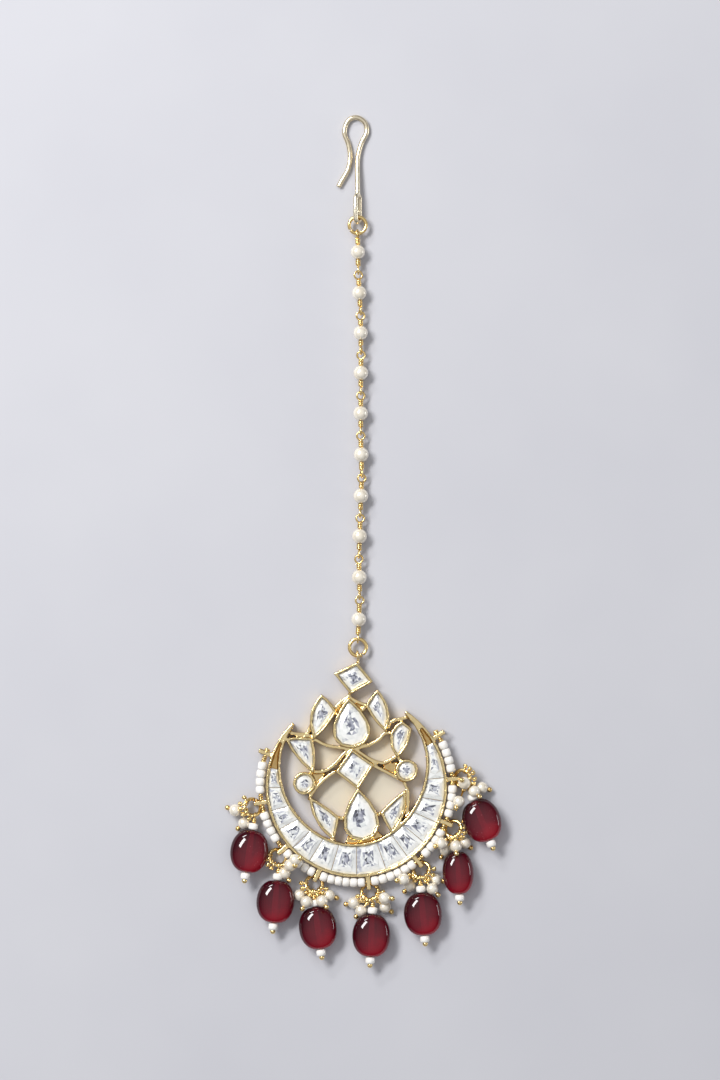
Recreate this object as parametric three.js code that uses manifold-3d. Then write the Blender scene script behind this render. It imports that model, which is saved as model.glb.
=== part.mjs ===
// A maang tikka that lies flat: a hair hook, a chain of pearls on wrapped wire, and a crescent pendant
// with foiled stones in closed gold bezels, a string of seed beads round its rim and seven red drops.
// X is to the right, Y is up along the jewel, Z is up from the surface that it lies on. Millimetres.
import * as THREE from "three";
import { mergeVertices } from "three/addons/utils/BufferGeometryUtils.js";
import Module from "manifold-3d";

const wasm = await Module();
wasm.setup();

// Pendant
const RIM_RADIUS = 18.1; // outer edge of the crescent
const CRESCENT_WIDTH = 6.67; // at its bottom
const CRESCENT_CLOSE = 0.27; // the inner circle's top beyond the outer one's, so that the tips run out
const CRESCENT_SWELL = 0.6; // how much wider its arms are than between two circles
const CRESCENT_SHIFT = 0.3; // how much the right arm is wider than that, and the left one narrower
const HORN_ANGLE = 140.6; // from the bottom of the crescent round to each tip, degrees
const TROUGH_ANGLE = 126; // how far round the channel is hollow
const LEAN = 5.8; // the pendant lies turned this far to the left, degrees
const FRAME_HEIGHT = 2.6;
const SEAT_HEIGHT = 1.0; // closed back under the stones
const BEZEL_WALL = 0.5;
const BAND_WIDTH = 0.65;
const BAND_HEIGHT = 2.1;
const PLATE_HEIGHT = 1.4;

// Stones
const STONE_PLAY = 0.09; // beside and under a stone
const STONE_HEIGHT = 1.45;
const CROWN = 0.5; // height of the facets round a table
const FACET_WIDTH = 0.62; // how far they lean in
const TABLE_LIMIT = 0.5; // most of a small stone's half width that its facets take
const FIELD_BED = 0.6; // foil bed under the stones of the crescent
const FIELD_FACET = 0.75;
const GROOVE = 0.12; // between two stones of the crescent

// Rim
const STRING_OUT = 1.1; // seed string's line beyond the rim
const STRING_ROOM = 0.81; // from a ring in its lug up to the thread, which the ring needs to rise outwards
const SEED_RADIUS = 0.95;
const SEED_CLEAR = 0.25; // between a lug and the seeds beside it
const THREAD_RADIUS = 0.16;
const STRING_ANGLE = 116; // of the lugs that hold its ends
const LUG_CLEAR = 0.6; // from the seeds to a lug's outer end
const LUG_LENGTH = 0.9; // along the rim
const LUG_WALL = 0.22;
const THREAD_PLAY = 0.07; // under the top of a lug
const LUG_PLAY = 0.4; // between a ring and the lug's outer wall

// Wire, rings and chain
const RING_RADIUS = 1.68; // middle of the wire, for every jump ring
const RING_WIRE = 0.36;
const EYELET_RADIUS = 0.9;
const EYELET_WIRE = 0.32;
const LINK_WIRE = 0.21;
const LOOP_RADIUS = 0.78;
const WRAP_LENGTH = 1.28;
const WRAP_RADIUS = 0.46;
const CHAIN_PEARL = 1.5; // radius
const LOOP_PLAY = 0.14; // between two wires that hold each other

// Hook
const HOOK_LENGTH = 18.3; // middle of the eye to the top of the crook
const HOOK_WIRE = 0.5;
const EYE_HALF_WIDTH = 1;
const EYE_STRAIGHT = 1.75; // from the eye's middle to where its ends begin to turn
const EYE_TURN = 66; // degrees from lying flat

// Drops
const BEAD_WIDTH = 0.42 * RIM_RADIUS;
const BEAD_LENGTH = 0.464 * RIM_RADIUS;
const BEAD_THICKNESS = 4.4;
const BEAD_BORE = 0.85; // half its width; its height follows the bead's flatness
const PIN_WIRE = 0.25;
const PIN_WRAP = 0.75;
const SEED_LENGTH = 1.35;
const SEED_GAP = 0.12; // between a red bead and the seeds at its ends
const BALL_RADIUS = 0.55;
const SMALL_PEARL = 1.25; // radius
const PEARL_REACH = 2.6; // from a ring's middle, for a pearl with reach 1
const PEARL_PLAY = 0.1; // between a pearl and what it rests on

// Corners are shares of RIM_RADIUS from the crescent's middle. Each side bows out by a share of its length.
const STONES = [
  { name: "crown", bows: [0, 0, 0, 0],
    corners: [[0.145, 1.362], [-0.123, 1.263], [0.039, 1.016], [0.302, 1.13]] },
  { name: "petal_left", bows: [0.17, 0.06, 0.07],
    corners: [[-0.282, 1.05], [-0.412, 0.567], [-0.135, 0.845]] },
  { name: "petal_right", bows: [0.07, 0.06, 0.16],
    corners: [[0.342, 1.041], [0.191, 0.872], [0.386, 0.563]] },
  { name: "fan_left", bows: [0.07, 0.07, 0.04],
    corners: [[-0.727, 0.607], [-0.455, 0.19], [-0.43, 0.58]] },
  { name: "fan_right", bows: [0.1, 0.13, 0.11, 0.03],
    corners: [[0.575, 0.667], [0.43, 0.544], [0.486, 0.269], [0.672, 0.574]] },
  { name: "centre", bows: [0, 0, 0, 0],
    corners: [[-0.01, 0.419], [-0.217, 0.184], [0.015, -0.037], [0.219, 0.218]] },
  { name: "leaf_left", bows: [0.125, 0.03, 0.03],
    corners: [[-0.529, -0.058], [-0.307, -0.568], [-0.223, -0.317]] },
  { name: "leaf_right", bows: [0.03, 0.03, 0.13],
    corners: [[0.533, -0.096], [0.233, -0.315], [0.336, -0.56]] },
];
const PEARS = [
  { name: "heart", tip: [0.009, 0.983], tail: [0.008, 0.425], width: 0.42 },
  { name: "base", tip: [0.015, -0.02], tail: [0.014, -0.605], width: 0.4 },
];
const ROUNDS = [
  { name: "round_left", middle: [-0.569, 0.092], radius: 0.126 },
  { name: "round_right", middle: [0.57, 0.119], radius: 0.126 },
];
// Bands of the lattice, as shares of RIM_RADIUS.
const BANDS = [
  [[-0.46, 0.575], [-0.412, 0.567], [-0.298, 0.49], [-0.158, 0.447], [-0.01, 0.416]],
  [[0.44, 0.55], [0.386, 0.563], [0.289, 0.479], [0.152, 0.432], [-0.01, 0.415]],
  [[-0.477, 0.213], [-0.343, 0.197], [-0.224, 0.256], [-0.13, 0.345], [-0.04, 0.415]],
  [[0.02, 0.415], [0.176, 0.286], [0.31, 0.223], [0.427, 0.261], [0.489, 0.297]],
  [[-0.205, 0.19], [-0.35, 0.11], [-0.5, -0.03], [-0.535, -0.1]],
  [[0.2, 0.219], [0.38, 0.1], [0.543, -0.012], [0.56, -0.136], [0.535, -0.32], [0.49, -0.48]],
  [[-0.712, 0.68], [-0.6, 0.64], [-0.498, 0.626], [-0.412, 0.575]],
  [[0.41, 0.6], [0.454, 0.672], [0.57, 0.69], [0.69, 0.705]],
  [[0.04, 1.06], [0.009, 0.94]],
  [[0.02, 0.99], [-0.09, 0.93], [-0.165, 0.845]],
  [[0.02, 0.985], [0.111, 0.922], [0.21, 0.875]],
  [[-0.41, 0.76], [-0.475, 0.635]],
  [[-0.175, 0.833], [-0.08, 0.79]],
  [[0.2, 0.872], [0.1, 0.79]],
  [[-0.47, 0.22], [-0.54, 0.13]],
  [[0.486, 0.28], [0.55, 0.16]],
  [[-0.307, -0.54], [-0.31, -0.64]],
  [[-0.24, -0.32], [-0.13, -0.36]],
  [[0.245, -0.32], [0.15, -0.36]],
];
// Small plates that fill the corners of the lattice.
const PLATES = [
  [[-0.49, 0.2], [-0.5, 0.1], [-0.44, 0.05], [-0.31, 0.19]],
  [[0.29, 0.21], [0.44, 0.08], [0.5, 0.06], [0.48, 0.22]],
  [[-0.13, -0.5], [0.17, -0.51], [0.26, -0.59], [0.02, -0.66], [-0.19, -0.62]],
  [[0, 0.985], [-0.1, 0.915], [-0.16, 0.82], [-0.1, 0.76], [-0.02, 0.9]],
  [[0.02, 0.975], [0.075, 0.86], [0.13, 0.79], [0.195, 0.83], [0.19, 0.88], [0.111, 0.925]],
];
// Where one stone of the crescent ends and the next begins, degrees from the bottom towards the right.
const DIVIDERS = [-108, -94.8, -79.5, -66.4, -51.8, -38, -22.4, -5.5, 14, 30.3, 44.6, 60, 74.6, 89.8, 114];

// The hook's line from its free end to its eye, as shares of HOOK_LENGTH from the middle of the eye, and its
// height as a share of the eye's.
const HOOK_LINE = [
  { x: -0.212, y: 0.24, rise: 0 }, { x: -0.16, y: 0.33, rise: 0 }, { x: -0.105, y: 0.43, rise: 0 },
  { x: -0.081, y: 0.56, rise: 0 }, { x: -0.1, y: 0.702, rise: 0 }, { x: -0.144, y: 0.835, rise: 0 },
  { x: -0.105, y: 0.96, rise: 0 }, { x: -0.012, y: 1, rise: 0 }, { x: 0.078, y: 0.945, rise: 0 },
  { x: 0.099, y: 0.84, rise: 0 }, { x: 0.041, y: 0.712, rise: 0.05 }, { x: 0.002, y: 0.56, rise: 0.2 },
  { x: -0.003, y: 0.37, rise: 0.6 }, { x: 0, y: 0.145, rise: 1 },
];

// Chosen course of the chain from the pendant to the hook: how far each link turns from straight up, the share
// of a wrap's length that its wraps have, and how far its two loops are rolled from lying flat. Degrees.
const CHAIN = [
  { turn: 2.5, wrap: 1.2, lower: 90, upper: 8 },
  { turn: -1, wrap: 1.05, lower: 82, upper: -12 },
  { turn: 2, wrap: 1, lower: 97, upper: 6 },
  { turn: 2.5, wrap: 0.95, lower: 84, upper: 14 },
  { turn: -1.5, wrap: 1.15, lower: 100, upper: -8 },
  { turn: 0, wrap: 0.95, lower: 86, upper: 10 },
  { turn: 0.5, wrap: 1, lower: 94, upper: -14 },
  { turn: -1, wrap: 0.9, lower: 80, upper: 4 },
  { turn: -3.5, wrap: 1, lower: 98, upper: 12 },
  { turn: -1, wrap: 1.05, lower: 88, upper: 78 },
];

// The drops from left to right. Angles are degrees from straight down towards the right: rim is the lug's,
// round the pendant; hang is the ring's; seat is where the head pin holds the ring; lean is the red bead's.
// width and pin are shares of the bead's width and of the pin's length down to its middle. Each pearl has its
// angle round the ring, its distance from the ring's middle as a share of PEARL_REACH and how far it lies above
// its lowest place as a share of its radius.
const DROPS = [
  { rim: -86, hang: -56, seat: 16, lean: -9, width: 1, pin: 1, pearls: [[-80, 1.35, 0], [-28, 1.4, 0]] },
  { rim: -55.2, hang: -27, seat: 4, lean: -5, width: 1, pin: 1,
    pearls: [[60, 1.1, 0], [24, 1.3, 0], [84, 1.35, 0]] },
  { rim: -29.7, hang: -16, seat: -8, lean: 7.5, width: 1, pin: 1,
    pearls: [[-52, 1.4, 0], [-24, 1.45, 1.5], [26, 1.4, 1.8], [52, 1.45, 0]] },
  { rim: 1.3, hang: 11, seat: 22, lean: -2.6, width: 1, pin: 1,
    pearls: [[-56, 1.5, 0], [-25, 1.6, 0], [68, 1.2, 0], [45, 1.65, 0]] },
  { rim: 33.6, hang: 16, seat: -8, lean: 4.7, width: 1, pin: 1,
    pearls: [[-35, 1.5, 0], [-64, 1.5, 0], [56, 1.35, 0], [31, 1.65, 1]] },
  { rim: 62, hang: 45, seat: 22, lean: 3.4, width: 0.82, pin: 1,
    pearls: [[-42, 1.4, 0], [8, 1.3, 0.8], [40, 1.4, 0], [-20, 1.75, 0]] },
  { rim: 88.6, hang: 92, seat: 40, lean: 22, width: 1, pin: 1.05,
    pearls: [[20, 0.35, 0], [42, 1.3, 0.6], [64, 1.65, 0], [-10, 1.75, 0]] },
];

// Sides of round things.
const WIRE_SIDES = 5;
const RING_SIDES = 10;
const LOOP_SIDES = 10;
const PEARL_SIDES = 10;
const BEAD_SIDES = 12;
const SEED_SIDES = 8;
const PEAR_SIDES = 12;
const PEAR_MITRE = 1.5; // how much further a pear's tip moves in than its sides
const ROUND_SIDES = 10;
const HOOK_SIDES = 6;
const HOOK_STEPS = 26;
const ARC_STEPS = 28;
const BED_STEPS = 21;
const WELD = 1e-4; // vertices closer than this are one
const SHORTEST_EDGE = 5e-3;
const FRAME_STEPS = 240; // a curve's frames are worked out at this many places

const rad = THREE.MathUtils.degToRad;
const beadHalf = BEAD_THICKNESS / 2;
const pinHeight = beadHalf + 0.05;
const loopHold = LOOP_RADIUS - LINK_WIRE - RING_WIRE - LOOP_PLAY; // a ring's wire to the middle of a loop on it
const loopPitch = 2 * (LOOP_RADIUS - LINK_WIRE) - LOOP_PLAY; // between the middles of two linked loops
const lugReach = STRING_OUT + SEED_RADIUS + LUG_CLEAR; // beyond the rim
const lugRingHeight = LUG_WALL + RING_WIRE + LOOP_PLAY;
const stringHeight = lugRingHeight + RING_WIRE + STRING_ROOM + THREAD_RADIUS;
const lugHeight = stringHeight + THREAD_RADIUS + THREAD_PLAY + LUG_WALL;
const lugMiddle = RIM_RADIUS + lugReach - LUG_WALL - RING_WIRE - LUG_PLAY; // where a ring passes its lug

// A closed geometry as a solid that can be joined and cut.
function solid(geometry) {
  const bare = geometry.index ? geometry.toNonIndexed() : geometry.clone();
  for (const name of Object.keys(bare.attributes)) {
    if (name !== "position") bare.deleteAttribute(name);
  }
  const merged = mergeVertices(bare, WELD);
  const mesh = new wasm.Mesh({
    numProp: 3,
    vertProperties: merged.attributes.position.array,
    triVerts: new Uint32Array(merged.index.array),
  });
  return new wasm.Manifold(mesh);
}

const joined = (geometries) => geometries.map(solid).reduce((whole, piece) => whole.add(piece));

// Joining leaves some edges shorter than a file's rounding. Each is drawn together into one point, unless that
// would pinch the surface.
function withoutShortEdges(places, faces) {
  const neighbours = places.map(() => new Set());
  for (const face of faces) {
    for (const corner of face) face.forEach((other) => neighbours[corner].add(other));
  }
  const becomes = places.map((_, i) => i);
  const busy = new Set();
  for (const [a, b] of faces.flatMap(([a, b, c]) => [[a, b], [b, c], [c, a]])) {
    if (places[a].distanceTo(places[b]) > SHORTEST_EDGE) continue;
    const near = [...neighbours[a], ...neighbours[b]];
    const shared = [...neighbours[a]].filter((i) => neighbours[b].has(i));
    if (shared.length !== 4 || near.some((i) => busy.has(i))) continue; // both ends and a point on each side
    near.forEach((i) => busy.add(i));
    becomes[b] = a;
  }
  const left = faces.map((face) => face.map((i) => becomes[i])).filter((face) => new Set(face).size === 3);
  return left.length < faces.length ? withoutShortEdges(places, left) : left;
}

function geometryOf(whole) {
  const { numProp, vertProperties, triVerts } = whole.getMesh();
  const places = Array.from({ length: vertProperties.length / numProp }, (_, i) =>
    new THREE.Vector3().fromArray(vertProperties, i * numProp));
  const faces = Array.from({ length: triVerts.length / 3 }, (_, i) => [...triVerts.slice(3 * i, 3 * i + 3)]);
  const geometry = new THREE.BufferGeometry().setFromPoints(places);
  return geometry.setIndex(withoutShortEdges(places, faces).flat());
}

// A direction in the plane of the jewel, from straight down towards the right.
const down = (degrees) => new THREE.Vector3(Math.sin(rad(degrees)), -Math.cos(rad(degrees)), 0);

const share = ([x, y]) => new THREE.Vector2(x, y).multiplyScalar(RIM_RADIUS);

// A rod of changing radius along a curve: profile rows are [share of the length, radius].
function bentRod(curve, profile, sides) {
  const rod = new THREE.LatheGeometry(profile.map(([t, radius]) => new THREE.Vector2(radius, t)), sides);
  const frames = curve.computeFrenetFrames(FRAME_STEPS, false);
  const place = rod.attributes.position;
  const moved = new THREE.Vector3();
  for (let i = 0; i < place.count; i++) {
    const t = THREE.MathUtils.clamp(place.getY(i), 0, 1);
    const at = Math.round(t * FRAME_STEPS);
    curve.getPointAt(t, moved);
    moved.addScaledVector(frames.normals[at], place.getX(i));
    moved.addScaledVector(frames.binormals[at], -place.getZ(i));
    place.setXYZ(i, moved.x, moved.y, moved.z);
  }
  return rod;
}

// Profile rows of a rod with one radius and cut ends.
function evenProfile(radius, steps) {
  const rows = [[0, 0]];
  for (let i = 0; i <= steps; i++) rows.push([i / steps, radius]);
  return [...rows, [1, 0]];
}

// A body turned about Y: rows are [height, radius] and close on the axis.
const turned = (rows, sides) =>
  new THREE.LatheGeometry(rows.map(([y, radius]) => new THREE.Vector2(radius, y)), sides);

// Rows of a ball round a wire.
const ballRows = (middle, radius) =>
  [[-1, 0], [-0.7, 0.71], [0, 1], [0.7, 0.71], [1, 0]].map(
    ([along, width]) => [middle + along * radius, width * radius]);

const flatRing = (radius, wire, sides) => new THREE.TorusGeometry(radius, wire, WIRE_SIDES, sides);

// A vertical prism over an outline.
function prism(outline, from, to) {
  const shape = new THREE.Shape(outline);
  return new THREE.ExtrudeGeometry(shape, { depth: to - from, bevelEnabled: false }).translate(0, 0, from);
}

const inward = (along) => new THREE.Vector2(-along.y, along.x).normalize();

// A polygon whose sides are shallow arcs, each in a few steps, all of it a margin inside the given one.
function bowedOutline({ corners, bows }, margin) {
  const places = corners.map(share);
  const sides = places.map((from, i) => {
    const along = places[(i + 1) % places.length].clone().sub(from);
    const sweep = inward(along).multiplyScalar(-4 * bows[i] * along.length());
    return { from, along, sweep };
  });
  const moved = sides.map(({ from, along, sweep }, i) => {
    const before = sides.at(i - 1);
    const arriving = inward(before.along.clone().sub(before.sweep));
    const leaving = inward(along.clone().add(sweep));
    const mitre = margin / (1 + arriving.dot(leaving));
    return from.clone().addScaledVector(arriving.add(leaving), mitre);
  });
  const steps = corners.length > 3 ? 2 : 3;
  return sides.flatMap(({ from, along, sweep }, i) => {
    const start = moved[i];
    const end = moved[(i + 1) % moved.length];
    const crest = from.clone().addScaledVector(along, 0.5).addScaledVector(sweep, 0.25);
    crest.addScaledVector(inward(along), margin).sub(start.clone().lerp(end, 0.5));
    return Array.from({ length: steps }, (_, k) => {
      const t = k / steps;
      return start.clone().lerp(end, t).addScaledVector(crest, 4 * t * (1 - t));
    });
  });
}

function pearOutline({ tip, tail, width }, margin) {
  const axis = share(tail).sub(share(tip)).normalize();
  const from = share(tip).addScaledVector(axis, margin * PEAR_MITRE);
  const length = share(tail).addScaledVector(axis, -margin).sub(from).length();
  const half = (width * RIM_RADIUS) / 2 - margin;
  const widest = 0.77; // greatest value of the side below
  return Array.from({ length: PEAR_SIDES }, (_, k) => {
    const angle = (k / PEAR_SIDES) * 2 * Math.PI;
    const side = (Math.sin(angle) * Math.abs(Math.sin(angle / 2))) / widest;
    const point = from.clone().addScaledVector(axis, (length * (1 - Math.cos(angle))) / 2);
    return point.addScaledVector(inward(axis), -side * half);
  });
}

function roundOutline({ middle, radius }, margin) {
  return Array.from({ length: ROUND_SIDES }, (_, k) => {
    const angle = (k / ROUND_SIDES) * 2 * Math.PI;
    const out = new THREE.Vector2(Math.cos(angle), Math.sin(angle));
    return share(middle).addScaledVector(out, radius * RIM_RADIUS - margin);
  });
}

// Each setting's outline at a margin inside its bezel's outer edge.
const settings = [
  ...STONES.map((row) => ({ name: row.name, outline: (margin) => bowedOutline(row, margin) })),
  ...PEARS.map((row) => ({ name: row.name, outline: (margin) => pearOutline(row, margin) })),
  ...ROUNDS.map((row) => ({ name: row.name, outline: (margin) => roundOutline(row, margin) })),
];

// How far the crescent's inner edge is from the middle of its outer one: a circle, drawn in along both arms.
function hornRadius(angle) {
  const radius = RIM_RADIUS - (CRESCENT_WIDTH - CRESCENT_CLOSE) / 2;
  const rise = (CRESCENT_WIDTH + CRESCENT_CLOSE) / 2;
  const along = down(angle).y * rise;
  const arm = Math.sin((Math.PI * angle) / HORN_ANGLE); // from 0 at the bottom and the tips to 1 between them
  const circle = along + Math.sqrt(along ** 2 - rise ** 2 + radius ** 2);
  return circle - CRESCENT_SWELL * arm ** 2 - CRESCENT_SHIFT * arm;
}

// The outline of a stretch of the crescent, a margin inside both of its edges.
function crescentStretch(from, to, steps, margin) {
  const turn = (k) => from + ((to - from) * k) / steps;
  const point = (angle, radius) => new THREE.Vector2(down(angle).x, down(angle).y).multiplyScalar(radius);
  const outer = Array.from({ length: steps + 1 }, (_, k) => point(turn(k), RIM_RADIUS - margin));
  const inner = Array.from({ length: steps + 1 }, (_, k) => point(turn(k), hornRadius(turn(k)) + margin));
  return [...outer, ...inner.reverse()];
}

// A band of the lattice: a strip of even width along a smooth line.
function band(shares) {
  const line = new THREE.SplineCurve(shares.map(share));
  const steps = shares.length > 2 ? shares.length + 1 : 1;
  const sides = [1, -1].map((side) =>
    Array.from({ length: steps + 1 }, (_, k) => {
      const along = line.getTangentAt(k / steps);
      const out = new THREE.Vector2(-along.y, along.x).multiplyScalar((side * BAND_WIDTH) / 2);
      return line.getPointAt(k / steps).add(out);
    }));
  return prism([...sides[1], ...sides[0].reverse()], 0, BAND_HEIGHT);
}

// A rim lug: a short square tube along the rim, from the rim's wall outwards.
function lug(angle) {
  const block = (from, to, length, height) => new THREE.BoxGeometry(to - from, length, height).translate(
    (from + to) / 2, 0, lugHeight / 2).rotateZ(rad(angle - 90));
  const end = RIM_RADIUS + lugReach;
  const body = block(RIM_RADIUS - BEZEL_WALL / 2, end, LUG_LENGTH, lugHeight);
  const hole = block(RIM_RADIUS + BEZEL_WALL, end - LUG_WALL, 2 * LUG_LENGTH, lugHeight - 2 * LUG_WALL);
  return solid(body).subtract(solid(hole));
}

const eyeletMiddle = share([0.163, 1.43]);

// The eyelet stands on edge above the crown's top corner, with a short foot down to it.
function eyelet() {
  const ring = flatRing(EYELET_RADIUS, EYELET_WIRE, LOOP_SIDES).rotateY(Math.PI / 2);
  const foot = prism([[0.13, 1.34], [0.165, 1.335], [0.175, 1.385], [0.15, 1.385]].map(share), 0, BAND_HEIGHT);
  return solid(ring.translate(eyeletMiddle.x, eyeletMiddle.y, CHAIN_PEARL)).add(solid(foot));
}

function pendantFrame() {
  const horn = crescentStretch(-HORN_ANGLE, HORN_ANGLE, ARC_STEPS, 0);
  const trough = crescentStretch(-TROUGH_ANGLE, TROUGH_ANGLE, ARC_STEPS, BEZEL_WALL);
  const full = [
    prism(horn, 0, FRAME_HEIGHT),
    ...settings.map(({ outline }) => prism(outline(0), 0, FRAME_HEIGHT)),
    ...BANDS.map(band),
    ...PLATES.map((plate) => prism(plate.map(share), 0, PLATE_HEIGHT)),
  ];
  const pockets = [trough, ...settings.map(({ outline }) => outline(BEZEL_WALL))];
  const cut = joined(pockets.map((outline) => prism(outline, SEAT_HEIGHT, FRAME_HEIGHT + 1)));
  const lugs = [...DROPS.map(({ rim }) => rim), -STRING_ANGLE, STRING_ANGLE].map(lug);
  return lugs.reduce((whole, piece) => whole.add(piece), joined(full).subtract(cut)).add(eyelet());
}

// A solid through outlines with equally many points, one above the other.
function layered(outlines, heights) {
  const count = outlines[0].length;
  const points = outlines.flatMap((outline, i) => outline.map(({ x, y }) => [x, y, heights[i]]));
  const cap = (layer) => THREE.ShapeUtils.triangulateShape(outlines[layer], []).map(
    (face) => face.map((i) => i + layer * count));
  const faces = cap(0).map(([a, b, c]) => [a, c, b]);
  for (let layer = 1; layer < outlines.length; layer++) {
    for (let i = 0; i < count; i++) {
      const below = (layer - 1) * count + i;
      const beside = (layer - 1) * count + ((i + 1) % count);
      faces.push([below, beside, beside + count], [below, beside + count, below + count]);
    }
  }
  faces.push(...cap(outlines.length - 1));
  const geometry = new THREE.BufferGeometry();
  geometry.setAttribute("position", new THREE.Float32BufferAttribute(points.flat(), 3));
  return geometry.setIndex(faces.flat());
}

// How far the nearest side of an outline is from its middle.
function innerRadius(outline) {
  const sum = outline.reduce((whole, point) => whole.add(point), new THREE.Vector2());
  const middle = sum.divideScalar(outline.length);
  return Math.min(...outline.map((point, i) => {
    const along = outline[(i + 1) % outline.length].clone().sub(point).normalize();
    return Math.abs(along.cross(middle.clone().sub(point)));
  }));
}

// A flat stone on its foil: a girdle, a ring of crown facets and a table.
function cutStone(outline, margin, facetWidth, foot) {
  const girdle = outline(margin);
  const facet = Math.min(facetWidth, TABLE_LIMIT * innerRadius(girdle));
  const heights = [foot, STONE_HEIGHT - CROWN, STONE_HEIGHT];
  return layered([girdle, girdle, outline(margin + facet)], heights);
}

function latticeStone({ outline }) {
  return cutStone(outline, BEZEL_WALL + STONE_PLAY, FACET_WIDTH, 0).translate(0, 0, SEAT_HEIGHT + STONE_PLAY);
}

// The stones of the crescent stand side by side on one foil bed.
function crescentField() {
  const edge = BEZEL_WALL + STONE_PLAY;
  const bed = prism(crescentStretch(DIVIDERS[0], DIVIDERS.at(-1), BED_STEPS, edge), 0, FIELD_BED);
  const stones = DIVIDERS.slice(1).map((end, i) => {
    const outline = (margin) => {
      const trim = THREE.MathUtils.radToDeg((margin - edge + GROOVE / 2) / RIM_RADIUS);
      return crescentStretch(DIVIDERS[i] + trim, end - trim, 3, margin);
    };
    return cutStone(outline, edge + GROOVE / 2, FIELD_FACET, FIELD_BED / 2);
  });
  return geometryOf(joined([bed, ...stones])).translate(0, 0, SEAT_HEIGHT + STONE_PLAY);
}

// The string of seeds: thick where seeds sit, bare thread where it passes a lug.
function seedString() {
  const radius = RIM_RADIUS + STRING_OUT;
  const stops = [-STRING_ANGLE, ...DROPS.map(({ rim }) => rim), STRING_ANGLE];
  const turn = (angle) => (angle + STRING_ANGLE) / (2 * STRING_ANGLE);
  const clear = THREE.MathUtils.radToDeg((LUG_LENGTH / 2 + SEED_CLEAR) / radius);
  const rows = stops.slice(1).flatMap((stop, i) => {
    const [from, to] = [stops[i] + clear, stop - clear];
    const seeds = [0, 0.33, 0.67, 1].map((t) => [t, SEED_RADIUS]);
    const profile = [[0, THREAD_RADIUS], ...seeds, [1, THREAD_RADIUS]];
    return profile.map(([t, width]) => [turn(from + (to - from) * t), width]);
  });
  const line = new THREE.EllipseCurve(0, 0, radius, radius, rad(-STRING_ANGLE - 90), rad(STRING_ANGLE - 90));
  const course = new THREE.CatmullRomCurve3(
    line.getPoints(FRAME_STEPS / 4).map(({ x, y }) => new THREE.Vector3(x, y, stringHeight)));
  return bentRod(course, [[0, 0], [0, THREAD_RADIUS], ...rows, [1, THREAD_RADIUS], [1, 0]], SEED_SIDES);
}

function hairHook() {
  const points = HOOK_LINE.map(({ x, y, rise }) => new THREE.Vector3(
    x * HOOK_LENGTH, y * HOOK_LENGTH, THREE.MathUtils.lerp(HOOK_WIRE, CHAIN_PEARL, rise)));
  const crook = bentRod(new THREE.CatmullRomCurve3(points), evenProfile(HOOK_WIRE, HOOK_STEPS), HOOK_SIDES);
  const eye = new THREE.TorusGeometry(EYE_HALF_WIDTH, HOOK_WIRE, HOOK_SIDES, LOOP_SIDES + 2);
  const place = eye.attributes.position;
  for (let i = 0; i < place.count; i++) {
    if (Math.abs(place.getY(i)) > WELD) place.setY(i, place.getY(i) + Math.sign(place.getY(i)) * EYE_STRAIGHT);
  }
  return geometryOf(joined([crook, eye.rotateY(rad(EYE_TURN)).translate(0, 0, CHAIN_PEARL)]));
}

const linkReach = (row) => CHAIN_PEARL + WRAP_LENGTH * row.wrap + LOOP_RADIUS; // pearl's middle to a loop's

// One link along Y with its pearl at the middle.
function chainLink(row) {
  const end = CHAIN_PEARL + WRAP_LENGTH * row.wrap + LINK_WIRE;
  const pearl = turned(ballRows(0, CHAIN_PEARL), PEARL_SIDES);
  const wrap = turned([[-end, 0], [-end, WRAP_RADIUS], [end, WRAP_RADIUS], [end, 0]], WIRE_SIDES);
  const loops = [[-1, row.lower], [1, row.upper]].map(([side, roll]) =>
    flatRing(LOOP_RADIUS, LINK_WIRE, LOOP_SIDES).rotateY(rad(roll)).translate(0, side * linkReach(row), 0));
  return geometryOf(joined([pearl, wrap, ...loops]));
}

// The red bead: an oval turned about its bore and then flattened.
function redBead() {
  const rows = 6;
  const end = Math.asin((2 * BEAD_BORE) / BEAD_WIDTH);
  const profile = Array.from({ length: rows + 1 }, (_, k) => {
    const angle = end + ((Math.PI - 2 * end) * k) / rows;
    const full = Math.sin(angle) ** 0.8;
    return new THREE.Vector2((BEAD_WIDTH / 2) * full, (-BEAD_LENGTH / 2) * Math.cos(angle) / Math.cos(end));
  });
  profile[0].x = BEAD_BORE;
  profile[rows].x = BEAD_BORE;
  profile.push(profile[0].clone());
  return new THREE.LatheGeometry(profile, BEAD_SIDES).scale(1, 1, BEAD_THICKNESS / BEAD_WIDTH);
}

// Where a drop's pieces go, worked out from its lug outwards.
function dropPlan(row) {
  const tilt = Math.asin((pinHeight - lugRingHeight) / (2 * RING_RADIUS));
  const lugPoint = down(row.rim + LEAN).multiplyScalar(lugMiddle);
  const middle = lugPoint.addScaledVector(down(row.hang), RING_RADIUS * Math.cos(tilt));
  middle.z = (pinHeight + lugRingHeight) / 2;
  const lift = Math.tan(tilt); // of the ring's plane, per millimetre towards hang
  const onRing = (angle, radius) => {
    const flat = down(angle).multiplyScalar(radius);
    const along = flat.dot(down(row.hang));
    flat.addScaledVector(down(row.hang), along * (Math.cos(tilt) - 1));
    flat.z = along * Math.cos(tilt) * lift;
    return flat.add(middle);
  };
  const seat = onRing(row.seat, RING_RADIUS).addScaledVector(down(row.lean), loopHold);
  const length = (LOOP_RADIUS + PIN_WRAP + SEED_LENGTH + SEED_GAP + BEAD_LENGTH / 2) * row.pin;
  const dive = Math.asin((pinHeight - seat.z) / length);
  return { tilt, middle, onRing, seat, length, dive };
}

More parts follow.
